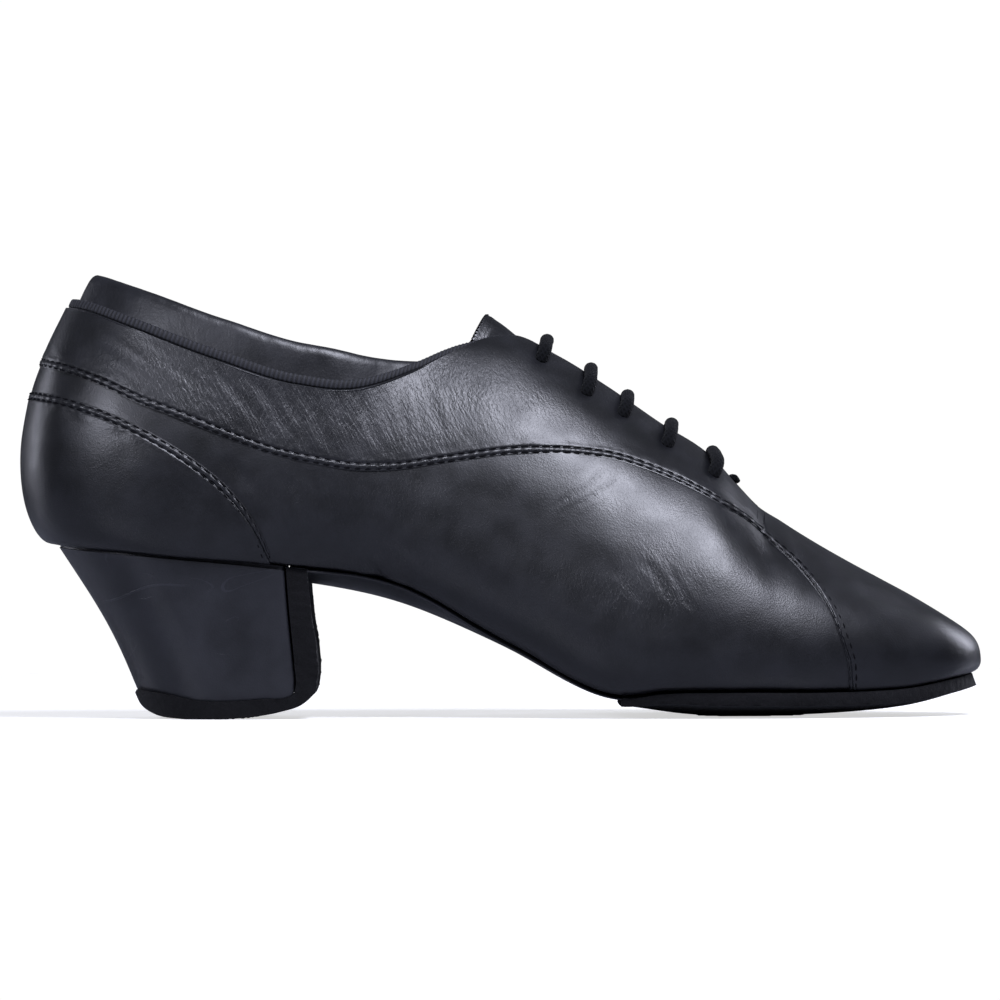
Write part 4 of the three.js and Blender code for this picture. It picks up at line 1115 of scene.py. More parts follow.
@dataclass
class Upper:
    """The shoe's leather upper: quarters, side panels, vamp, counter and lining."""

    last: Last
    lap: float = 0.5
    tuck: float = 3.0
    beyond: float = ROWS[0]
    feather: float = 0.75
    vamp_back: float = 219.0
    throat_foot: tuple[float, float] = (221.0, 54.2)
    seam_stop: float = 0.985
    counter_front: float = 74.0
    joint_front: float = 246.0
    lining_depth: float = 1.1

    def seam(self, line: Sequence[Sequence[float]], side: Side, aside: float = 0.0) -> Edge:
        """Returns a seam on the last, from the back seam forward.

        Args:
            line: the seam in the side view.
            side: which side of the foot.
            aside: how far it is moved up or to the front.

        Returns:
            The seam as an edge.
        """
        fine = catmull(line, 1.5)
        if aside:
            fine = shifted(fine, aside)
        turn, level = self.last.find(fine[:, 0], fine[:, 1], side)
        turn[0] = side.turn(0.0)
        return Edge(self.last, turn, level)

    def stretch(self, line: Sequence[Sequence[float]], side: Side) -> Edge:
        """Returns a short line in the side view as a line on the last."""
        fine = catmull(line, 0.6)
        return Edge(self.last, *self.last.find(fine[:, 0], fine[:, 1], side))

    def around(self, start: float, end: float, level: float, count: int = 160) -> Edge:
        """Returns an edge at one level from turn to turn."""
        turn = np.linspace(start, end, count)
        return Edge(self.last, turn, np.full(count, level))

    def turn_at(self, x: float, side: Side, level: float) -> float:
        """Returns the turn where a level passes x."""
        angle = np.linspace(0.001, 0.999, 2000)
        passed = self.last.outside(angle, np.full_like(angle, level))[:, 0]
        return side.turn(float(np.interp(x, passed, angle)))

    def facing_this_way(self, edge: Edge, side: Side) -> Edge:
        """Returns an edge from the heel forward as one along which turns grow."""
        return edge if side is Side.INNER else edge.back()

    def quarter(self, side: Side, creases: Sequence[Sequence], worn: Sequence[Sequence[float]]) -> Workpiece:
        """Returns the panel from the upper seam to the collar and the lacing edge."""
        line = [point for point in UPPER_SEAM if point[0] < self.vamp_back] + [self.throat_foot]
        low = self.seam(line, side, -self.beyond)
        end = float(self.last.top_angle(self.vamp_back / self.last.length))
        high = self.around(side.turn(0.0), side.turn(end), 3.0)
        name = f"{side.name.lower()}_quarter"
        low, high = self.facing_this_way(low, side), self.facing_this_way(high, side)
        return Panel(name, self.last, low, high,
                     columns=360, row_mm=1.1, seed=3 + side.value, creases=[Crease(*row) for row in creases],
                     worn=worn, holes=LACE_HOLES,
                     heel_at=0.0 if side is Side.INNER else low.length).cut()

    def side_panel(self, side: Side, creases: Sequence[Sequence],
                   worn: Sequence[Sequence[float]]) -> Workpiece:
        """Returns the lower panel, tucked under its neighbours."""
        high = self.seam(UPPER_SEAM, side, self.tuck - self.beyond)
        high = Edge(self.last, *high.at(np.linspace(0, self.seam_stop, 260)))
        low = self.seam(COUNTER_SEAM, side, self.beyond - self.tuck)
        start = self.turn_at(self.counter_front, side, self.feather)
        end = self.turn_at(self.joint_front + 1, side, self.feather)
        low = low.then(self.around(start, end, self.feather))
        name = f"{side.name.lower()}_side_panel"
        return Panel(name, self.last, self.facing_this_way(low, side), self.facing_this_way(high, side),
                     depth=self.lap, sewn=Sewn.NOWHERE, columns=300, row_mm=0.95, seed=13 + side.value,
                     creases=[Crease(*row) for row in creases], worn=worn).cut()

    def counter(self) -> Workpiece:
        """Returns the panel round the back of the heel."""
        near, far = (self.seam(COUNTER_SEAM, side, self.beyond) for side in Side)
        share = np.linspace(0, self.seam_stop, 120)
        near, far = Edge(self.last, *near.at(share)), Edge(self.last, *far.at(share))
        far = Edge(self.last, far.turn - 2, far.level)
        high = far.back().then(near)
        start = self.turn_at(self.counter_front - 1, Side.OUTER, self.feather) - 2
        end = self.turn_at(self.counter_front - 1, Side.INNER, self.feather)
        low = self.around(start, end, self.feather)
        return Panel("heel_counter", self.last, low, high, sewn=Sewn.HIGH, columns=260, row_mm=1.1,
                     seed=21, heel_at=far.length).cut()

    def vamp(self) -> Workpiece:
        """Returns the front panel, in one piece over the ridge from side to side."""
        halves = []
        start, overlap = self.vamp_back, 2.5
        for side in Side:
            low = self.seam(UPPER_SEAM, side, -self.beyond)
            x = self.last.outside(low.turn, low.level)[:, 0]
            front = x >= start
            passed = float(low.run[np.argmax(front)])
            end = float(low.turn[-1])
            toe = self.around(end, 1.0, self.feather, 120)
            low = Edge(self.last, low.turn[front], low.level[front]).then(toe)
            first = side.turn(float(self.last.top_angle((start - overlap) / self.last.length)))
            halves.append(Panel("vamp", self.last, low, self.around(first, 1.0, 3.0), columns=190,
                                row_mm=1.15, seed=31, tuck_in=overlap + 1, sewn_to=self.sewn_to(low),
                                heel_at=-passed))
        return halves[0].cut(halves[1])

    def sewn_to(self, low: Edge) -> float:
        """Returns how far along an edge the sewing goes, before the edge turns under the foot."""
        return float(low.run[np.argmax(low.level <= 1.0)])

    def lining(self) -> Workpiece:
        """Returns the lining, a closed shell behind all the panels."""
        angle = angle_of(np.linspace(0, 1, 121))
        ends = [self.last.throat_end, self.last.facing_top]
        angle = np.unique(np.concatenate([angle, self.last.top_angle(np.array(ends))]))
        turn = np.concatenate([angle, (2 - angle)[::-1][1:]])
        level = np.concatenate([np.linspace(0, 1, 5), np.linspace(1, 2, 16)[1:], np.linspace(2, 3, 30)[1:]])
        turn, level = np.meshgrid(turn, level)
        base = self.last.outside(turn, level)
        depth = self.last.wall + 0.16 * murmur(base, 22, 41) * smooth((3 - level) / 0.3)
        points = self.last.layer(turn, level, depth)[:, ::-1]
        piece = Workpiece.sheet("lining", self.last.metres(points))
        piece.map("seam", turn[:, ::-1] * self.last.length, FAR + level)
        piece.weld()
        return piece.modify("SOLIDIFY", thickness=(self.last.wall - self.lining_depth) * MM, offset=-1.0)

    def folded_edge(self) -> Workpiece:
        """Returns the leather turned over the top line, from the throat round the back to the throat."""
        end = float(self.last.top_angle(self.last.throat_end - 0.002))
        turn = np.linspace(-end, end, 420)
        half, flat = 0.92, 0.62
        centre = self.last.layer(turn, 2.994, half)
        out = self.last.normal(turn, 2.999)
        up = unit(np.cross(out, unit(np.gradient(centre, axis=0))))
        around = np.linspace(0, 2 * np.pi, 11)[:, None, None]
        ring = centre[None] + half * (np.cos(around) * out + flat * np.sin(around) * up)
        piece = Workpiece.sheet("folded_edge", self.last.metres(ring))
        piece.value("crease", np.full(ring.shape[:2], 0.35))
        piece.map("seam", np.broadcast_to(travelled(centre), ring.shape[:2]), np.full(ring.shape[:2], FAR))
        return piece.seal()


@dataclass
class Collar:
    """The foam-filled collar, its ribbed binding and the tongue."""

    last: Last
    depth: float = 20.0
    rise: float = 13.1
    thick: float = 4.4
    thin: float = 1.8
    gap: float = 0.65
    end: float = 0.462
    binding_end: float = 0.735
    binding_height: float = 2.8
    binding_thins: float = 122.0
    rib_pitch: float = 1.37
    tongue_half_width: float = 21.0
    tongue_end_half: float = 9.6
    tongue_thickness: float = 1.7
    tongue_free: float = 0.521
    tongue_foot: float = 0.801
    tongue_tip: tuple[float, float] = (137.9, 118.2)

    def stations(self, end: float, count: int) -> Array:
        """Returns turns from one side round the back to the other, evenly spaced along the top line."""
        last_turn = float(self.last.top_angle(end))
        turn = np.linspace(-last_turn, last_turn, 1200)
        run = travelled(self.last.outside(turn, np.full_like(turn, 3.0)))
        return np.interp(np.linspace(0, run[-1], count), run, turn)

    def wall_up(self, turn: Array) -> Array:
        """Returns the directions in which the wall rises at the top line."""
        return unit(self.last.layer(turn, 3.0, 0.0) - self.last.layer(turn, 2.9, 0.0))

    def taper(self, turn: Array) -> Array:
        """Returns 1 round the back, falling to 0 at the facings."""
        share = self.last.top_x(np.abs(turn)) / (self.last.facing_top * self.last.length)
        return 1 - smooth((share - 0.62) / 0.38)

    def section(self) -> tuple[Array, Array, Array]:
        """Returns the padding's outline: share across, share up, and how much each point may swell."""
        wall_up = np.linspace(0, 0.9, 12)
        wall = np.stack([np.zeros(12), wall_up, 0.25 * smooth((wall_up - 0.72) / 0.15)], -1)
        turn = np.linspace(math.pi, 0, 11)[1:-1]
        crown = np.stack([0.5 + 0.5 * np.cos(turn), 0.9 + 0.1 * np.sin(turn), np.full(9, 0.3)], -1)
        inner_up = np.linspace(0.9, 0, 16)
        inner = np.stack([0.3 + 0.85 * np.sin(np.clip(inner_up, 0.02, 1) * 2.0) ** 0.8, inner_up,
                          np.full(16, 1.0)], -1)
        rounded = mix(1.0, inner[:, 0], smooth((0.9 - inner_up) / 0.1))
        inner[:, 0] = np.where(inner_up > 0.8, rounded, inner[:, 0])
        return tuple(np.concatenate([wall, crown, inner]).T)

    def padding(self) -> Workpiece:
        """Returns the padding as one closed, puffed roll with the small puckers of its lining."""
        turn = self.stations(self.end, 300)
        taper = self.taper(turn)
        rise = mix(-1.2, self.rise, taper)
        thickness = mix(self.thin, self.thick, taper)
        level = np.linspace(3, 2.05, 60)
        behind = self.last.wall + self.gap
        wall = self.last.layer(turn[None], level[:, None], behind)
        down = np.linalg.norm(wall - wall[0], axis=-1)
        edge, up = wall[0], self.wall_up(turn)
        inward = -self.last.normal(turn, np.full_like(turn, 3.0))
        across, height, swell = self.section()
        height = mix(-self.depth, rise[None], height[:, None])
        out = across[:, None] * thickness[None]
        foot = np.array([np.interp(-height[:, c], down[:, c], level) for c in range(len(turn))]).T
        low = self.last.layer(np.broadcast_to(turn, foot.shape), foot, behind + out)
        high = edge[None] + up[None] * height[..., None] + inward[None] * out[..., None]
        ring = np.where(height[..., None] > 0, high, low)
        puff = 0.35 * murmur(ring, 9, 51) + 0.2 * murmur(ring * (1, 1, 0.5), 4.5, 52)
        ring = ring + inward[None] * (swell[:, None] * puff * np.minimum(taper[None] + 0.2, 1))[..., None]
        ring = np.concatenate([ring, ring[:1]])
        piece = Workpiece.sheet("padded_collar", self.last.metres(ring))
        return piece.seal()

    def binding(self) -> Workpiece:
        """Returns the ribbed elastic that binds the top edge."""
        turn = self.stations(self.binding_end, 1190)
        x = self.last.top_x(np.abs(turn))
        edge = self.last.layer(turn, 3.0, self.last.wall / 2 + 0.15)
        run = travelled(edge)
        rib = 0.5 - 0.5 * np.cos(2 * np.pi * run / self.rib_pitch)
        thinned = smooth((x - self.binding_thins) / 20)
        tall, low = mix(self.binding_height, 0.9, thinned), mix(0.45, 0.1, thinned)
        up, out = self.wall_up(turn), self.last.normal(turn, np.full_like(turn, 3.0))
        around = np.linspace(0, 2 * np.pi, 13)
        half = 0.52 + 0.34 * rib
        ring = []
        for side, rise in zip(np.cos(around), np.sin(around)):
            lift = low + tall * (0.5 + 0.5 * np.sign(rise) * abs(rise) ** 0.7) + 0.12 * rib * max(rise, 0)
            ring.append(edge + out * (np.sign(side) * abs(side) ** 0.6 * half)[:, None] + up * lift[:, None])
        ring = np.array(ring)
        piece = Workpiece.sheet("ribbed_binding", self.last.metres(ring))
        # The rib's height, which the elastic's material paints as shade in the valleys and a highlight on the
        # crowns.
        piece.value("crease", np.broadcast_to(rib, ring.shape[:2]))
        return piece.seal(0.01)

    def under_wall(self, share: float, offsets: Array, depth: float) -> Array:
        """Returns points inside the wall at distances from the centre plane, arched over the throat."""
        last = self.last
        angle = float(last.top_angle(share))
        level = np.linspace(2.2, 3, 60)
        halves = []
        for side in Side:
            wall = last.layer(side.turn(angle), level, depth)
            spread = np.abs(wall[:, 1] - last.swing(wall[:, 0]))
            found = np.interp(np.abs(offsets), spread[::-1], level[::-1])
            halves.append((last.layer(side.turn(angle), found, depth), spread[-1], wall[-1]))
        (near, near_rim, near_top), (far, far_rim, far_top) = halves
        rim = max(near_rim, far_rim, 0.6)
        middle = (near_top + far_top) / 2
        middle[2] += 0.06 * rim
        inner = offsets[:, None] < 0
        t = np.clip(np.abs(offsets) / rim, 0, 1)[:, None]
        arch = mix(middle, np.where(inner, near_top, far_top), t**2)
        arch[:, 1] = last.swing(middle[0]) + offsets
        return np.where(np.abs(offsets)[:, None] > rim, np.where(inner, near, far), arch)

    def tongue(self) -> Workpiece:
        """Returns the tongue: under the facings, and standing free past their tops with a pinked end."""
        offsets = np.linspace(-1, 1, 57)
        depth = self.last.wall + 0.6
        rows = [self.under_wall(share, offsets * self.tongue_half_width, depth)
                for share in np.linspace(self.tongue_foot, self.tongue_free, 46)]
        start, middle = rows[-1], len(offsets) // 2
        tip_x, tip_z = self.tongue_tip
        end = np.stack([tip_x - 5.0 * np.abs(offsets) ** 1.4, self.tongue_end_half * offsets,
                        tip_z - 9.5 * np.abs(offsets) ** 1.7], -1)
        pinked = 0.4 * np.where(np.arange(len(offsets)) % 2 == 0, 1, -1)
        for t in 1 - np.linspace(1, 0, 31)[1:] ** 1.6:
            row = mix(start, end, t)
            row[:, 1] = mix(start[:, 1], end[:, 1], smooth(t * 1.25))
            row[:, 2] += 0.2 * math.sin(math.pi * t) * (1 - offsets**2)
            run = (1 - t) * float(np.linalg.norm(end[middle] - start[middle]))
            groove = bump(run - 2.2, 0.5)
            row += (-0.2 * groove, 0.0, 0.25 * groove)
            row[:, 0] += pinked * smooth(1 - run / 0.7)
            rows.append(row)
        points = np.array(rows)[:, ::-1]
        points[..., 2] += 0.22 * murmur(points, 8, 61) * np.linspace(0.2, 1, len(rows))[:, None]
        across = np.broadcast_to(offsets[::-1] * self.tongue_end_half, points.shape[:2])
        piece = Workpiece.sheet("leather_tongue", self.last.metres(points))
        piece.value("crease", np.full(points.shape[:2], 0.2))
        piece.map("seam", across, np.full(points.shape[:2], FAR))
        return piece.modify("SOLIDIFY", thickness=self.tongue_thickness * MM, offset=-1.0)


# The heel seen from the side: the edge of its cover, and the outline of the suede round it.
COVER_LINE = (
    (79.1, 48.8), (79.3, 44.7), (80.2, 31.9), (81.6, 16.1), (81.9, 9.4), (81.3, 7.4), (79.6, 6.5),
    (72.6, 6.1), (63.5, 5.5), (52.5, 5.8), (44.6, 7.3), (36.0, 8.6), (34.6, 8.8),
)
SUEDE_LINE = (
    (85.5, 48.8), (86.0, 39.2), (86.9, 29.5), (88.3, 19.8), (88.5, 12.5), (87.4, 7.6), (84.1, 4.4),
    (77.4, 2.1), (69.5, 0.7), (60.4, 0.0), (48.3, 0.1), (39.8, 1.5), (35.8, 4.0), (33.9, 7.7),
)
# The rings round the heel's cover: share of the way down, inset and drop under the seat.
HEEL_SHOULDER = (
    (0.0, 9.0, -1.0), (0.0, 2.6, -0.25), (0.0, 2.5, 0.8), (0.0, 1.2, 0.9), (0.0, 0.5, 0.93),
    (0.0, 0.12, 1.0), (0.012, 0.0, 1.0),
)
HEEL_FOOT = ((1.0, 0.12, 1.0), (1.0, 0.6, 1.0))


@dataclass
class Bottom:
    """What is under the upper and in it: tread, waist cover, heel and insole."""

    last: Last
    gap: float = 0.45
    tread: float = 3.8
    skive: float = 2.4
    overhang: float = 1.0
    split: float = 178.0
    tread_end: float = 282.0
    waist_back: float = 84.2
    heel_inset: float = 0.6
    heel_front: float = 82.0
    heel_base_back: float = 34.5
    heel_base_width: float = 47.0
    heel_foot: float = 6.0
    heel_belly: float = 2.5
    suede_proud: float = 0.7
    insole_inset: float = 3.6
    insole_thickness: float = 2.2

    def seat(self, x: Array, y: Array) -> Array:
        """Returns the height of the upper's underside over x and y."""
        angle = self.last.sole_angle(x)
        side = np.where(y < self.last.swing(x), -1.0, 1.0)
        edge = self.last.sole(angle, side, np.ones_like(x))
        half = np.maximum(np.abs(edge[..., 1] - self.last.swing(x)), 1e-6)
        cross = np.clip(np.abs(y - self.last.swing(x)) / half, 0, 1)
        return self.last.sole(angle, side, cross)[..., 2]

    def bed(self, start: float, end: float, inset: float, rise: float,
            thickness: Callable[[Array, Array, Array], Array], steps: int = 150, fuzz: float = 0.0,
            dome: float = 0.0) -> Array:
        """Returns the rings of a sole.

        Args:
            start: x of its back end.
            end: x of its front end.
            inset: how far its edge is inside the edge of the upper.
            rise: height of its top over the underside of the upper.
            thickness: a function of the share across, the share along and the height of the underside.
            steps: rings along it.
            fuzz: raggedness of its cut edge.
            dome: how much its top is raised inside the margin of the upper.

        Returns:
            Rings of points, one for each step.
        """
        last = self.last
        first, final = (float(last.sole_angle(x)) for x in (start, end))
        t = np.linspace(0, 1, steps)
        angle = mix(first, final, t)[:, None]
        across = np.sin(np.linspace(-1, 1, 33) * np.pi / 2)[None]
        side, cross = np.where(across < 0, -1.0, 1.0), np.abs(across)
        base = last.sole(angle, side, cross)
        middle, edge = last.sole(angle, side, cross * 0), last.sole(angle, side, cross * 0 + 1)
        half = np.linalg.norm(edge - middle, axis=-1)
        scale = np.maximum(half - inset, 0) / np.maximum(half, 1e-6)
        ahead = last.sole(np.minimum(angle + 0.01, 1), side, cross)
        behind = last.sole(np.maximum(angle - 0.01, 0), side, cross)
        slope = (ahead[..., 2] - behind[..., 2]) / np.maximum(ahead[..., 0] - behind[..., 0], 1e-6)
        normal = unit(np.stack([-slope, np.zeros_like(slope), np.ones_like(slope)], -1))
        centre = last.swing(base[..., 0])
        base[..., 1] = centre + (base[..., 1] - centre) * scale
        up = rise + dome * smooth((half * (1 - cross) - 3.2) / 2.0)
        top = base + normal * up[..., None]
        share_across, share_along = np.broadcast_arrays(cross, t[:, None])
        deep = thickness(share_across, share_along, base[..., 2] + rise)
        low = base + normal * (rise - deep)[..., None]
        outer_rim, inner_rim = [], []
        for share in (0.12, 0.3, 0.5, 0.7, 0.88):
            bulge = np.array([0.0, 0.35 * math.sin(math.pi * share), 0.0])
            outer_rim.append(mix(top[:, -1], low[:, -1], share) + bulge)
            inner_rim.append(mix(top[:, 0], low[:, 0], share) - bulge)
        sides = np.stack(outer_rim, 1), np.stack(inner_rim[::-1], 1)
        ring = np.concatenate([top, sides[0], low[:, ::-1], sides[1], top[:, :1]], 1)
        if fuzz:
            away = unit(ring - ring.mean(1, keepdims=True)) * (0.0, 1.0, 0.0)
            flat, rim = np.zeros_like(up), np.ones((steps, len(outer_rim)))
            cut_edge = np.concatenate([flat, rim, flat, rim, flat[:, :1]], 1)
            beside_the_rim = [0, 31, 32, 38, 39, 70, 71, 76]
            cut_edge[:, beside_the_rim] = 0.7
            ragged = murmur(ring, 1.7, 71) + 0.7 * murmur(ring, 0.8, 72)
            ring = ring + away * (fuzz * cut_edge * ragged)[..., None]
        return ring

    def rolled(self, name: str, rings: Array) -> Workpiece:
        """Returns a closed piece from rings of points."""
        piece = Workpiece.sheet(name, self.last.metres(rings))
        return piece.seal(0.005)

    def tread_sole(self) -> Workpiece:
        """Returns the suede tread, flat where it stands and skived at its back."""

        def thickness(cross: Array, along: Array, height: Array) -> Array:
            """Returns the thickness, cut level with the floor."""
            wanted = mix(self.skive, self.tread, smooth(along / 0.2))
            return np.where(height - wanted < 0.25, height, wanted)

        rings = self.bed(self.split, self.tread_end, -self.overhang, -self.gap, thickness, 210, fuzz=0.16,
                         dome=1.0)
        rings[..., 2] = np.maximum(rings[..., 2], 0.0)
        return self.rolled("suede_tread", rings)

    def waist(self) -> Workpiece:
        """Returns the covered waist between heel and tread."""

        def thickness(cross: Array, along: Array, height: Array) -> Array:
            """Returns the thickness, thinned to the edges."""
            return mix(2.0, 0.9, cross**2) * mix(1, 0.6, smooth((along - 0.7) / 0.3))

        rings = self.bed(self.waist_back, self.split - 0.2, 1.2, -self.gap, thickness, 110, dome=1.0)
        return self.rolled("leather_waist", rings)

    def insole(self) -> Workpiece:
        """Returns the insole, a little hollowed by its padding."""
        back, front = self.last.feather_back * self.last.length, self.last.feather_front * self.last.length
        rise = self.last.wall + 0.7 + self.insole_thickness
        short = self.insole_inset + 1.0
        rings = self.bed(back + short, front - short, self.insole_inset, rise,
                         lambda cross, along, height: np.full_like(cross, self.insole_thickness), 130)
        return self.rolled("lined_insole", rings)

    def heel_level(self, z: Array | float) -> Array:
        """Returns how far down the heel a height is, from 0 at the seat to 1 at the suede."""
        return np.clip((self.last.seat_height - z) / (self.last.seat_height - self.heel_foot), 0, 1.2)

    def heel_back(self, z: Array | float) -> Array:
        """Returns where the back of the heel is at a height."""
        level = self.heel_level(z)
        back = mix(self.last.feather_back * self.last.length + self.heel_inset, self.heel_base_back, level)
        return back + self.heel_belly * np.sin(np.pi * np.clip(level, 0, 1))

    def heel_half(self, x: Array, z: Array, grow: float) -> Array:
        """Returns half the width of the heel at x and z."""
        feather = self.last.profile["feather_out"](self.last.sole_angle(self.heel_front))
        seat_half = self.last.tread_width * feather - self.heel_inset
        wide = mix(seat_half, self.heel_base_width / 2, self.heel_level(z)**0.7) + grow
        reach = np.clip((x - self.heel_back(z) + grow) / (1.08 * wide), 0, 1)
        return wide * np.sqrt(np.maximum(1 - (1 - reach) ** 2, 0))

    def heel_block(self) -> Workpiece:
        """Returns the heel under its cover: a shoulder round the seat, then down to the suede."""
        line = catmull(COVER_LINE, 0.4)
        breast = line[line[:, 1] > 9.4][::-1]
        foot = line[line[:, 1] <= 9.6][::-1]
        share_of_x = (1 - np.cos(np.linspace(0, np.pi, 60))) / 2
        wall = [(share, 0.0, 1.0) for share in np.linspace(0.03, 0.985, 40)]
        rings = []
        for share, inset, drop in (*HEEL_SHOULDER, *wall, *HEEL_FOOT):
            nominal = mix(self.last.seat_height - 2, self.heel_foot + 0.5, share)
            back_x = float(self.heel_back(nominal))
            front_x = float(np.interp(nominal, breast[:, 1], breast[:, 0])) - 0.12
            x = mix(back_x, front_x, share_of_x)
            half = self.heel_half(x, np.full_like(x, nominal), 0.0)
            corner = np.clip((x - front_x + 1.1) / 1.1, 0, 1)
            half = half - 1.1 * (1 - np.sqrt(1 - corner**2 * 0.98))
            x = np.concatenate([x, np.full(8, front_x)])
            y = np.concatenate([half, np.linspace(1, 0, 9)[1:] * half[-1]])
            x, y = np.concatenate([x, x[::-1][1:]]), np.concatenate([y, -y[::-1][1:]])
            flat = np.stack([x, y], -1)
            inward = unit(flat - (x.mean(), 0.0)) * inset
            forward = (x - back_x) / (front_x - back_x)
            inward[:, 0] *= 0.12 * (1 - smooth((forward - 0.5) / 0.3))
            flat = flat - inward
            seat = self.seat(flat[:, 0], flat[:, 1])
            top = seat - 0.12 - drop * mix(0.6, 1.2, forward)
            low = np.interp(x, foot[:, 0], foot[:, 1])
            rings.append(np.concatenate([flat, mix(top, low, share)[:, None]], -1))
        return self.rolled("covered_heel", np.array(rings))

    def heel_suede(self) -> Workpiece:
        """Returns the suede that runs down the breast and under the heel, in one strip."""
        inner, outer = catmull(COVER_LINE, 0.4), catmull(SUEDE_LINE, 0.4)
        share = np.linspace(0, 1, 190)
        lines = []
        for line in (inner, outer):
            run = travelled(line)
            lines.append(np.stack([np.interp(share * run[-1], run, line[:, k]) for k in (0, 1)], -1))
        inner, outer = lines
        way = unit(outer - inner)
        inner = inner + way * 0.12
        across, rim = np.linspace(-1, 1, 25), (0.12, 0.35, 0.65, 0.88)
        route = [(0.0, across), *((part, (1,)) for part in rim)]
        route += [(1.0, across[::-1]), *((part, (-1,)) for part in rim[::-1])]
        rings = []
        for cover, edge in zip(inner, outer):
            ring = []
            for part, order in route:
                x, z = mix(cover, edge, part)
                half = float(self.heel_half(x, z, self.suede_proud))
                ring += [(x, half * share, z) for share in order]
            rings.append(ring + ring[:1])
        rings = np.array(rings)
        away = np.stack([way[:, 0], 0 * way[:, 0], way[:, 1]], -1)[:, None]
        width = np.abs(rings[..., 1])
        side = np.sign(rings[..., 1]) * (width > 0.95 * width.max(1, keepdims=True))
        rings[..., 1] += side * (0.16 * murmur(rings, 1.7, 81) + 0.1 * murmur(rings, 0.8, 82))
        proud = np.linalg.norm(rings - rings[:, :1], axis=-1) > 5
        rings = rings + away * (np.abs(side) * proud * 0.2 * murmur(rings, 1.3, 83))[..., None]
        under = self.seat(rings[..., 0], rings[..., 1])
        rings[..., 2] = np.clip(rings[..., 2], 0.0, under - 0.15)
        return self.rolled("suede_heel_strip", rings)


# Each pair of lace holes from the top down: x and z seen from the side, how far its bar leans forward
# over the throat, and how deep it bites into the facings.
LACE_HOLES = (
    (155.1, 106.4, 0.3, 0.0), (168.4, 96.3, 0.3, 0.6), (179.1, 89.8, 0.5, 1.0), (192.1, 80.8, 0.45, 0.6),
    (205.8, 72.0, -0.5, 1.0),
)


@dataclass
class Lacing:
    """The braided lace through its five pairs of holes."""

    last: Last
    diameter: float = 4.0
    stand_off: float = 0.15
    hidden_end: float = 4.6
    tack_at: float = 211.6

    def path(self, row: int) -> Array:
        """Returns the middle of one bar of lace, from inside one hole over the throat into the other."""
        x, z, lean, bite = LACE_HOLES[row]
        radius = self.diameter / 2
        clear = radius + self.stand_off
        wings = []
        for side in Side:
            turn, level = (float(v[0]) for v in self.last.find(np.array([x]), np.array([z]), side))
            over = side.turn(float(self.last.top_angle((x + lean * 1.6) / self.last.length)))
            share, depth = np.array([
                (0.0, self.hidden_end), (0.0, 1.6), (0.03, -0.2), (0.16, -radius * 0.9),
                (0.42, bite * 0.3 - clear), (0.72, bite * 0.7 - clear), (1.0, bite - clear),
            ]).T
            wings.append(self.last.layer(mix(turn, over, share), mix(level, 3.0, share), depth))
        near, far = wings
        middle = (near[-1] + far[-1]) / 2 + (0, 0, 0.15)
        return catmull([*near, middle, *far[::-1]], 0.22)

    def bar(self, row: int) -> Workpiece:
        """Returns one bar as a round cord, a little flattened where it bends over the edge."""
        centre = self.path(row)
        run = travelled(centre)
        forward, up = crosswise(centre)
        around = np.linspace(0, 2 * np.pi, 25)
        turned = around[:, None] + 0.12 * run[None]
        yarns = np.sin(7 * around[:, None] + 2.9 * run[None]) * np.sin(7 * around[:, None] - 2.9 * run[None])
        size = self.diameter / 2 * (1 + 0.025 * yarns + 0.02 * np.sin(run[None] * 0.9 + row))
        ring = centre[None] + forward * (np.cos(around)[:, None] * size)[..., None] \
            + up * (np.sin(around)[:, None] * size * 0.94)[..., None]
        piece = Workpiece.sheet(f"lace_cord_{row + 1}", self.last.metres(ring))
        piece.map("along", turned / (2 * np.pi), np.broadcast_to(run, turned.shape))
        return piece.seal(0.004)

    def tack(self) -> Workpiece:
        """Returns the few turns of cord that hold the foot of the throat together."""
        centre = []
        for turns in np.linspace(-1, 1, 80):
            x = self.tack_at + 0.45 * math.sin(turns * math.pi * 2.5)
            over = float(self.last.top_angle(x / self.last.length))
            level = 3.0 - 0.035 * abs(turns)
            turn = over if turns < 0 else 2 - over
            centre.append(self.last.layer(np.array([turn]), np.array([level]), -0.5)[0])
        centre = np.array(centre)
        forward, up = crosswise(centre)
        around = np.linspace(0, 2 * np.pi, 13)[:, None, None]
        ring = centre[None] + 1.3 * np.cos(around) * forward + 0.8 * np.sin(around) * up
        piece = Workpiece.sheet("throat_tack", self.last.metres(ring))
        piece.map("along", np.broadcast_to(around[..., 0] / (2 * np.pi), ring.shape[:2]),
                  np.broadcast_to(travelled(centre), ring.shape[:2]))
        return piece.seal(0.004)


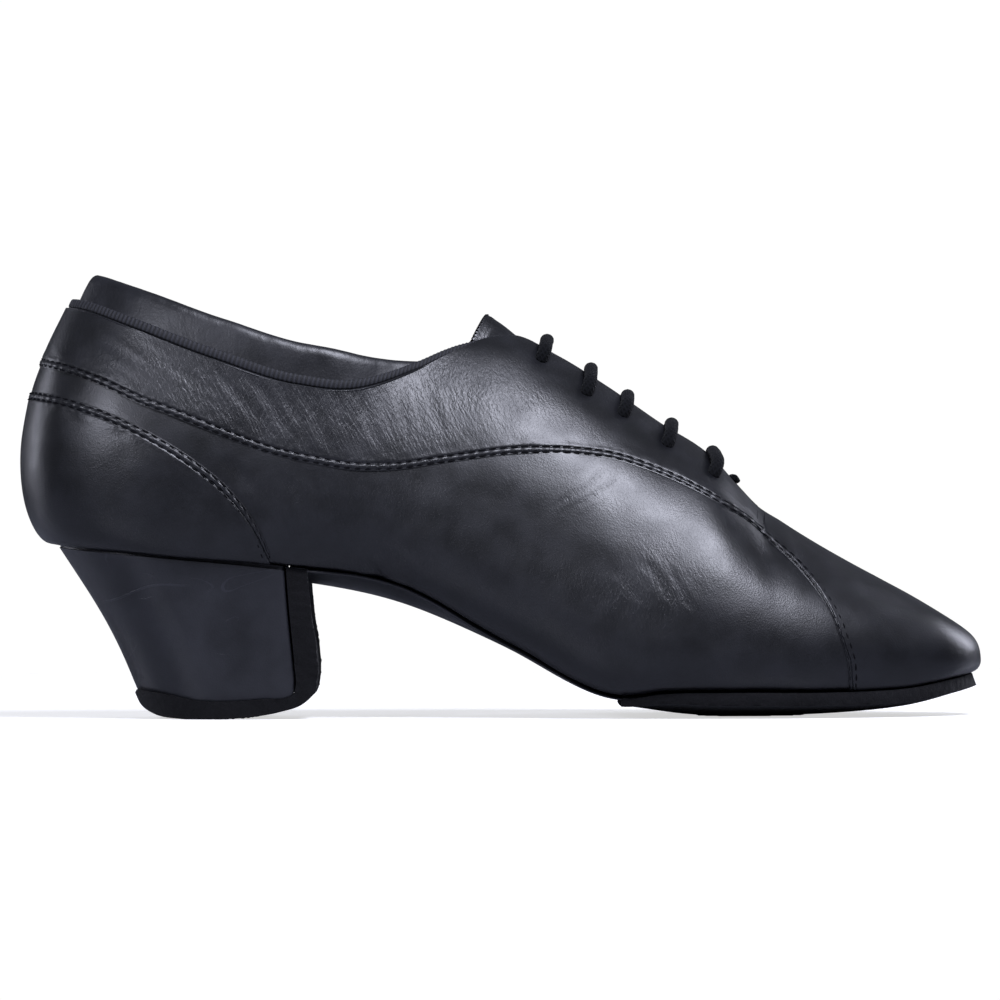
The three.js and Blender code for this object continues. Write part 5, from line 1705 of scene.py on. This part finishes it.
@dataclass
class Stitches:
    """Rows of lockstitch, one short thread after another, each sunk at its ends."""

    last: Last
    pitch: float = 3.1
    length: float = 2.35
    width: float = 0.5
    sunk: float = 0.26

    def one(self, name: str) -> Workpiece:
        """Returns one stitch along X, drawn down at both ends."""
        loops = []
        for t in np.linspace(-1, 1, 7):
            fat = self.width / 2 * math.sqrt(1 - 0.7 * t * t)
            lift = 0.22 * (1 - t * t) - self.sunk
            loops.append([(t * self.length / 2, fat * math.cos(a), lift + 0.7 * fat * math.sin(a))
                          for a in np.linspace(0, 2 * math.pi, 6, endpoint=False)])
        return Workpiece.drawn(name, np.array(loops) * MM)

    def row(self, name: str, edge: Edge, away: float = 0.0, gap: float = 0.0) -> Workpiece:
        """Returns a row of stitches beside an edge.

        Args:
            name: the piece's name.
            edge: the edge of the panel, from the heel.
            away: the distance from the edge, to its left.
            gap: pitch, where it isn't the usual one.

        Returns:
            All its stitches in one piece.
        """
        last = self.last
        pitch = gap or self.pitch
        count = int(edge.length / pitch)
        place = (np.arange(count) + 0.5) * pitch / edge.length
        turn, level = edge.at(place)
        ahead = edge.at(np.clip(place + 0.3 / edge.length, 0, 1))
        out = last.normal(turn, np.minimum(level, 2.998))
        along = unit(last.outside(*ahead) - last.outside(turn, level))
        aside = unit(np.cross(out, along))
        rng = np.random.default_rng(count)
        centre = last.layer(turn, level, 0.05) + aside * (away + rng.normal(0, 0.04, count))[:, None]
        one = self.one(name)
        copies = []
        for k in range(count):
            copy = one.obj.copy()
            copy.data = one.obj.data.copy()
            way = Matrix((along[k], aside[k], unit(np.cross(along[k], aside[k])))).transposed().to_4x4()
            askew = Matrix.Rotation(rng.normal(0, 0.03), 4, "Z")
            copy.data.transform(Matrix.Translation(last.metres(centre[k])) @ way @ askew)
            bpy.context.collection.objects.link(copy)
            copies.append(copy)
        return one.swapped(copies)


# Each lamp: its name, elevation and azimuth from the camera's side in degrees, distance from the point
# that it is aimed at, that point, its width and height, all in metres, and its power in watts.
LAMPS = (
    ("key_soft_box", 52, 22, 1.3, (0.02, 0, 0.05), (0.38, 0.58), 25),
    ("left_soft_box", 23, -35, 1.2, (-0.1, 0, 0.07), (0.2, 0.2), 6),
    ("left_rim_strip", 10, -118, 1.2, (-0.1, 0, 0.07), (0.3, 0.6), 3),
    ("right_rim_strip", 22, 128, 1.3, (0.1, 0, 0.04), (0.4, 0.6), 7),
)


@dataclass
class Studio:
    """The camera, the floor and the lights, in metres and degrees."""

    distance: float = 2.5
    eye_height: float = 0.0643
    roll: float = -0.27
    sensor_mm: float = 36.0
    lens_mm: float = 302.5
    table_size: float = 4.0
    table_gap: float = 0.05 * MM
    lamp_colour: tuple[float, float, float] = (0.84, 0.86, 1.0)

    def camera(self) -> None:
        """Adds a long lens square to the inner side, rolled a little as in the photo."""
        place = (0.0, -self.distance, self.eye_height)
        bpy.ops.object.camera_add(location=place, rotation=(math.radians(90), 0, 0))
        camera = bpy.context.object
        camera.rotation_euler.rotate_axis("Z", math.radians(self.roll))
        camera.data.sensor_width, camera.data.lens = self.sensor_mm, self.lens_mm
        bpy.context.scene.camera = camera

    def floor(self) -> None:
        """Adds a white table that fades into the white room."""
        bpy.ops.object.select_all(action="DESELECT")
        bpy.ops.mesh.primitive_plane_add(size=1)
        floor = bpy.context.object
        floor.name = "floor"
        bpy.ops.object.mode_set(mode="EDIT")
        bpy.ops.mesh.select_all(action="SELECT")
        bpy.ops.transform.resize(value=(self.table_size, self.table_size, 1))
        bpy.ops.transform.translate(value=(0, 0, -self.table_gap))
        bpy.ops.object.mode_set(mode="OBJECT")
        coat = Finish("matt_white_acrylic")
        seen = coat.add("LightPath", out="Is Camera Ray")
        white = coat.add("Mix", {0: seen, 6: (0.28, 0.29, 0.33, 1), 7: (0.8, 0.8, 0.81, 1)}, out=2,
                         data_type="RGBA")
        glow = coat.add("Math", {0: seen, 1: 0.6}, operation="MULTIPLY")
        coat.set(Base_Color=white, Roughness=0.3, Specular_IOR_Level=0.25, Emission_Color=(1, 1, 1, 1),
                 Emission_Strength=glow)
        reach = coat.add("VectorMath", {0: coat.place}, out="Value", operation="LENGTH")
        gone = coat.add("MapRange", {0: reach, 1: 0.35, 2: 0.8}, interpolation_type="SMOOTHSTEP")
        clear = coat.add("BsdfTransparent")
        faded = coat.add("MixShader", {0: gone, 1: coat.surface.outputs[0], 2: clear})
        output = next(node for node in coat.tree.nodes if node.type == "OUTPUT_MATERIAL")
        coat.tree.links.new(faded, output.inputs["Surface"])
        floor.data.materials.append(coat.material)

    def room(self) -> None:
        """Adds the room: white behind the shoe, dim in its reflections, lighter overhead."""
        world = bpy.data.worlds.new("white_room")
        world.use_nodes = True
        nodes = Nodes(world.node_tree)
        height = nodes.add("SeparateXYZ", {0: nodes.add("TexCoord", out="Generated")}, out=2)
        dim = nodes.add("MapRange", {0: height, 1: -0.1, 2: 0.9, 3: 0.06, 4: 0.2},
                        interpolation_type="SMOOTHSTEP")
        seen = nodes.add("LightPath", out="Is Camera Ray")
        strength = nodes.add("Mix", {0: seen, 2: dim, 3: 1.02}, data_type="FLOAT")
        tint = nodes.add("Mix", {0: seen, 6: (0.82, 0.85, 1, 1), 7: (1, 1, 1, 1)}, out=2, data_type="RGBA")
        nodes.add("OutputWorld", {"Surface": nodes.add("Background", {"Color": tint, "Strength": strength})})
        bpy.context.scene.world = world

    def light(self) -> None:
        """Adds the soft boxes: two from the camera's side, two narrow ones behind the shoe's ends."""
        for name, elevation, azimuth, reach, aim, size, power in LAMPS:
            up, side = math.radians(elevation), math.radians(azimuth)
            way = Vector((math.sin(side) * math.cos(up), -math.cos(side) * math.cos(up), math.sin(up)))
            bpy.ops.object.light_add(type="AREA", location=Vector(aim) + way * reach)
            lamp = bpy.context.object
            lamp.name = lamp.data.name = name
            lamp.data.shape, lamp.data.energy, lamp.data.color = "RECTANGLE", power, self.lamp_colour
            lamp.data.size, lamp.data.size_y = size
            lamp.rotation_euler = way.to_track_quat("Z", "Y").to_euler()
        bpy.context.scene.view_settings.view_transform = "Standard"


def main() -> None:
    """Builds the shoe piece by piece."""
    logging.basicConfig(level=logging.INFO, format="%(message)s")
    last = Last()
    upper = Upper(last)
    nappa, glazed = NappaLeather().build(), LiningLeather().build()
    for side in Side:
        upper.quarter(side, QUARTER_CREASES[side], QUARTER_WEAR).dress(nappa, "upper_leather", "upper")
        upper.side_panel(side, PANEL_CREASES[side], PANEL_WEAR).dress(nappa, "upper_leather", "upper")
    upper.counter().dress(nappa, "upper_leather", "upper")
    upper.vamp().dress(nappa, "upper_leather", "upper")
    upper.folded_edge().dress(nappa, "upper_leather", "upper")
    upper.lining().dress(glazed, "lining_leather", "upper")
    collar = Collar(last)
    padding = collar.padding().dress(glazed, "lining_leather", "collar_padding")
    collar.binding().dress(RibbedElastic().build(), "ribbed_elastic", "collar_binding", sharp=80)
    collar.tongue().dress(nappa, "upper_leather", "tongue")
    bottom = Bottom(last)
    suede, cover = Suede().build(), CoverLeather().build()
    bottom.tread_sole().dress(suede, "sole_suede", "tread_sole")
    bottom.heel_suede().dress(suede, "sole_suede", "heel_suede")
    bottom.waist().dress(cover, "cover_leather", "waist_cover")
    bottom.heel_block().dress(cover, "cover_leather", "heel_block")
    bottom.insole().dress(LiningLeather("insole_lining_leather").build(), "lining_leather", "insole")
    lacing = Lacing(last)
    cord = WovenCord().build()
    for row in range(len(LACE_HOLES)):
        lacing.bar(row).dress(cord, "lace_cord", f"lace_bar_{row + 1}")
    lacing.tack().dress(cord, "lace_cord", "lace_bar_5")
    stitches, thread = Stitches(last), Thread().build()
    for side in Side:
        label = side.name.lower()
        upper_edge = upper.seam(UPPER_SEAM, side, -upper.beyond)
        counter_edge = upper.seam(COUNTER_SEAM, side, upper.beyond)
        for seam, edge, way in (("seam", upper_edge, -side.value), ("counter", counter_edge, side.value)):
            for k, away in enumerate(ROWS, 1):
                row = stitches.row(f"{label}_{seam}_row_{k}", edge, away * way)
                row.dress(thread, "upper_leather", "upper")
        for k, line in enumerate(THROAT_ROWS, 1):
            row = stitches.row(f"{label}_throat_row_{k}", upper.stretch(line, side), gap=1.7)
            row.dress(thread, "upper_leather", "upper")
    studio = Studio()
    studio.camera()
    studio.floor()
    studio.room()
    studio.light()


if __name__ == "__main__":
    main()
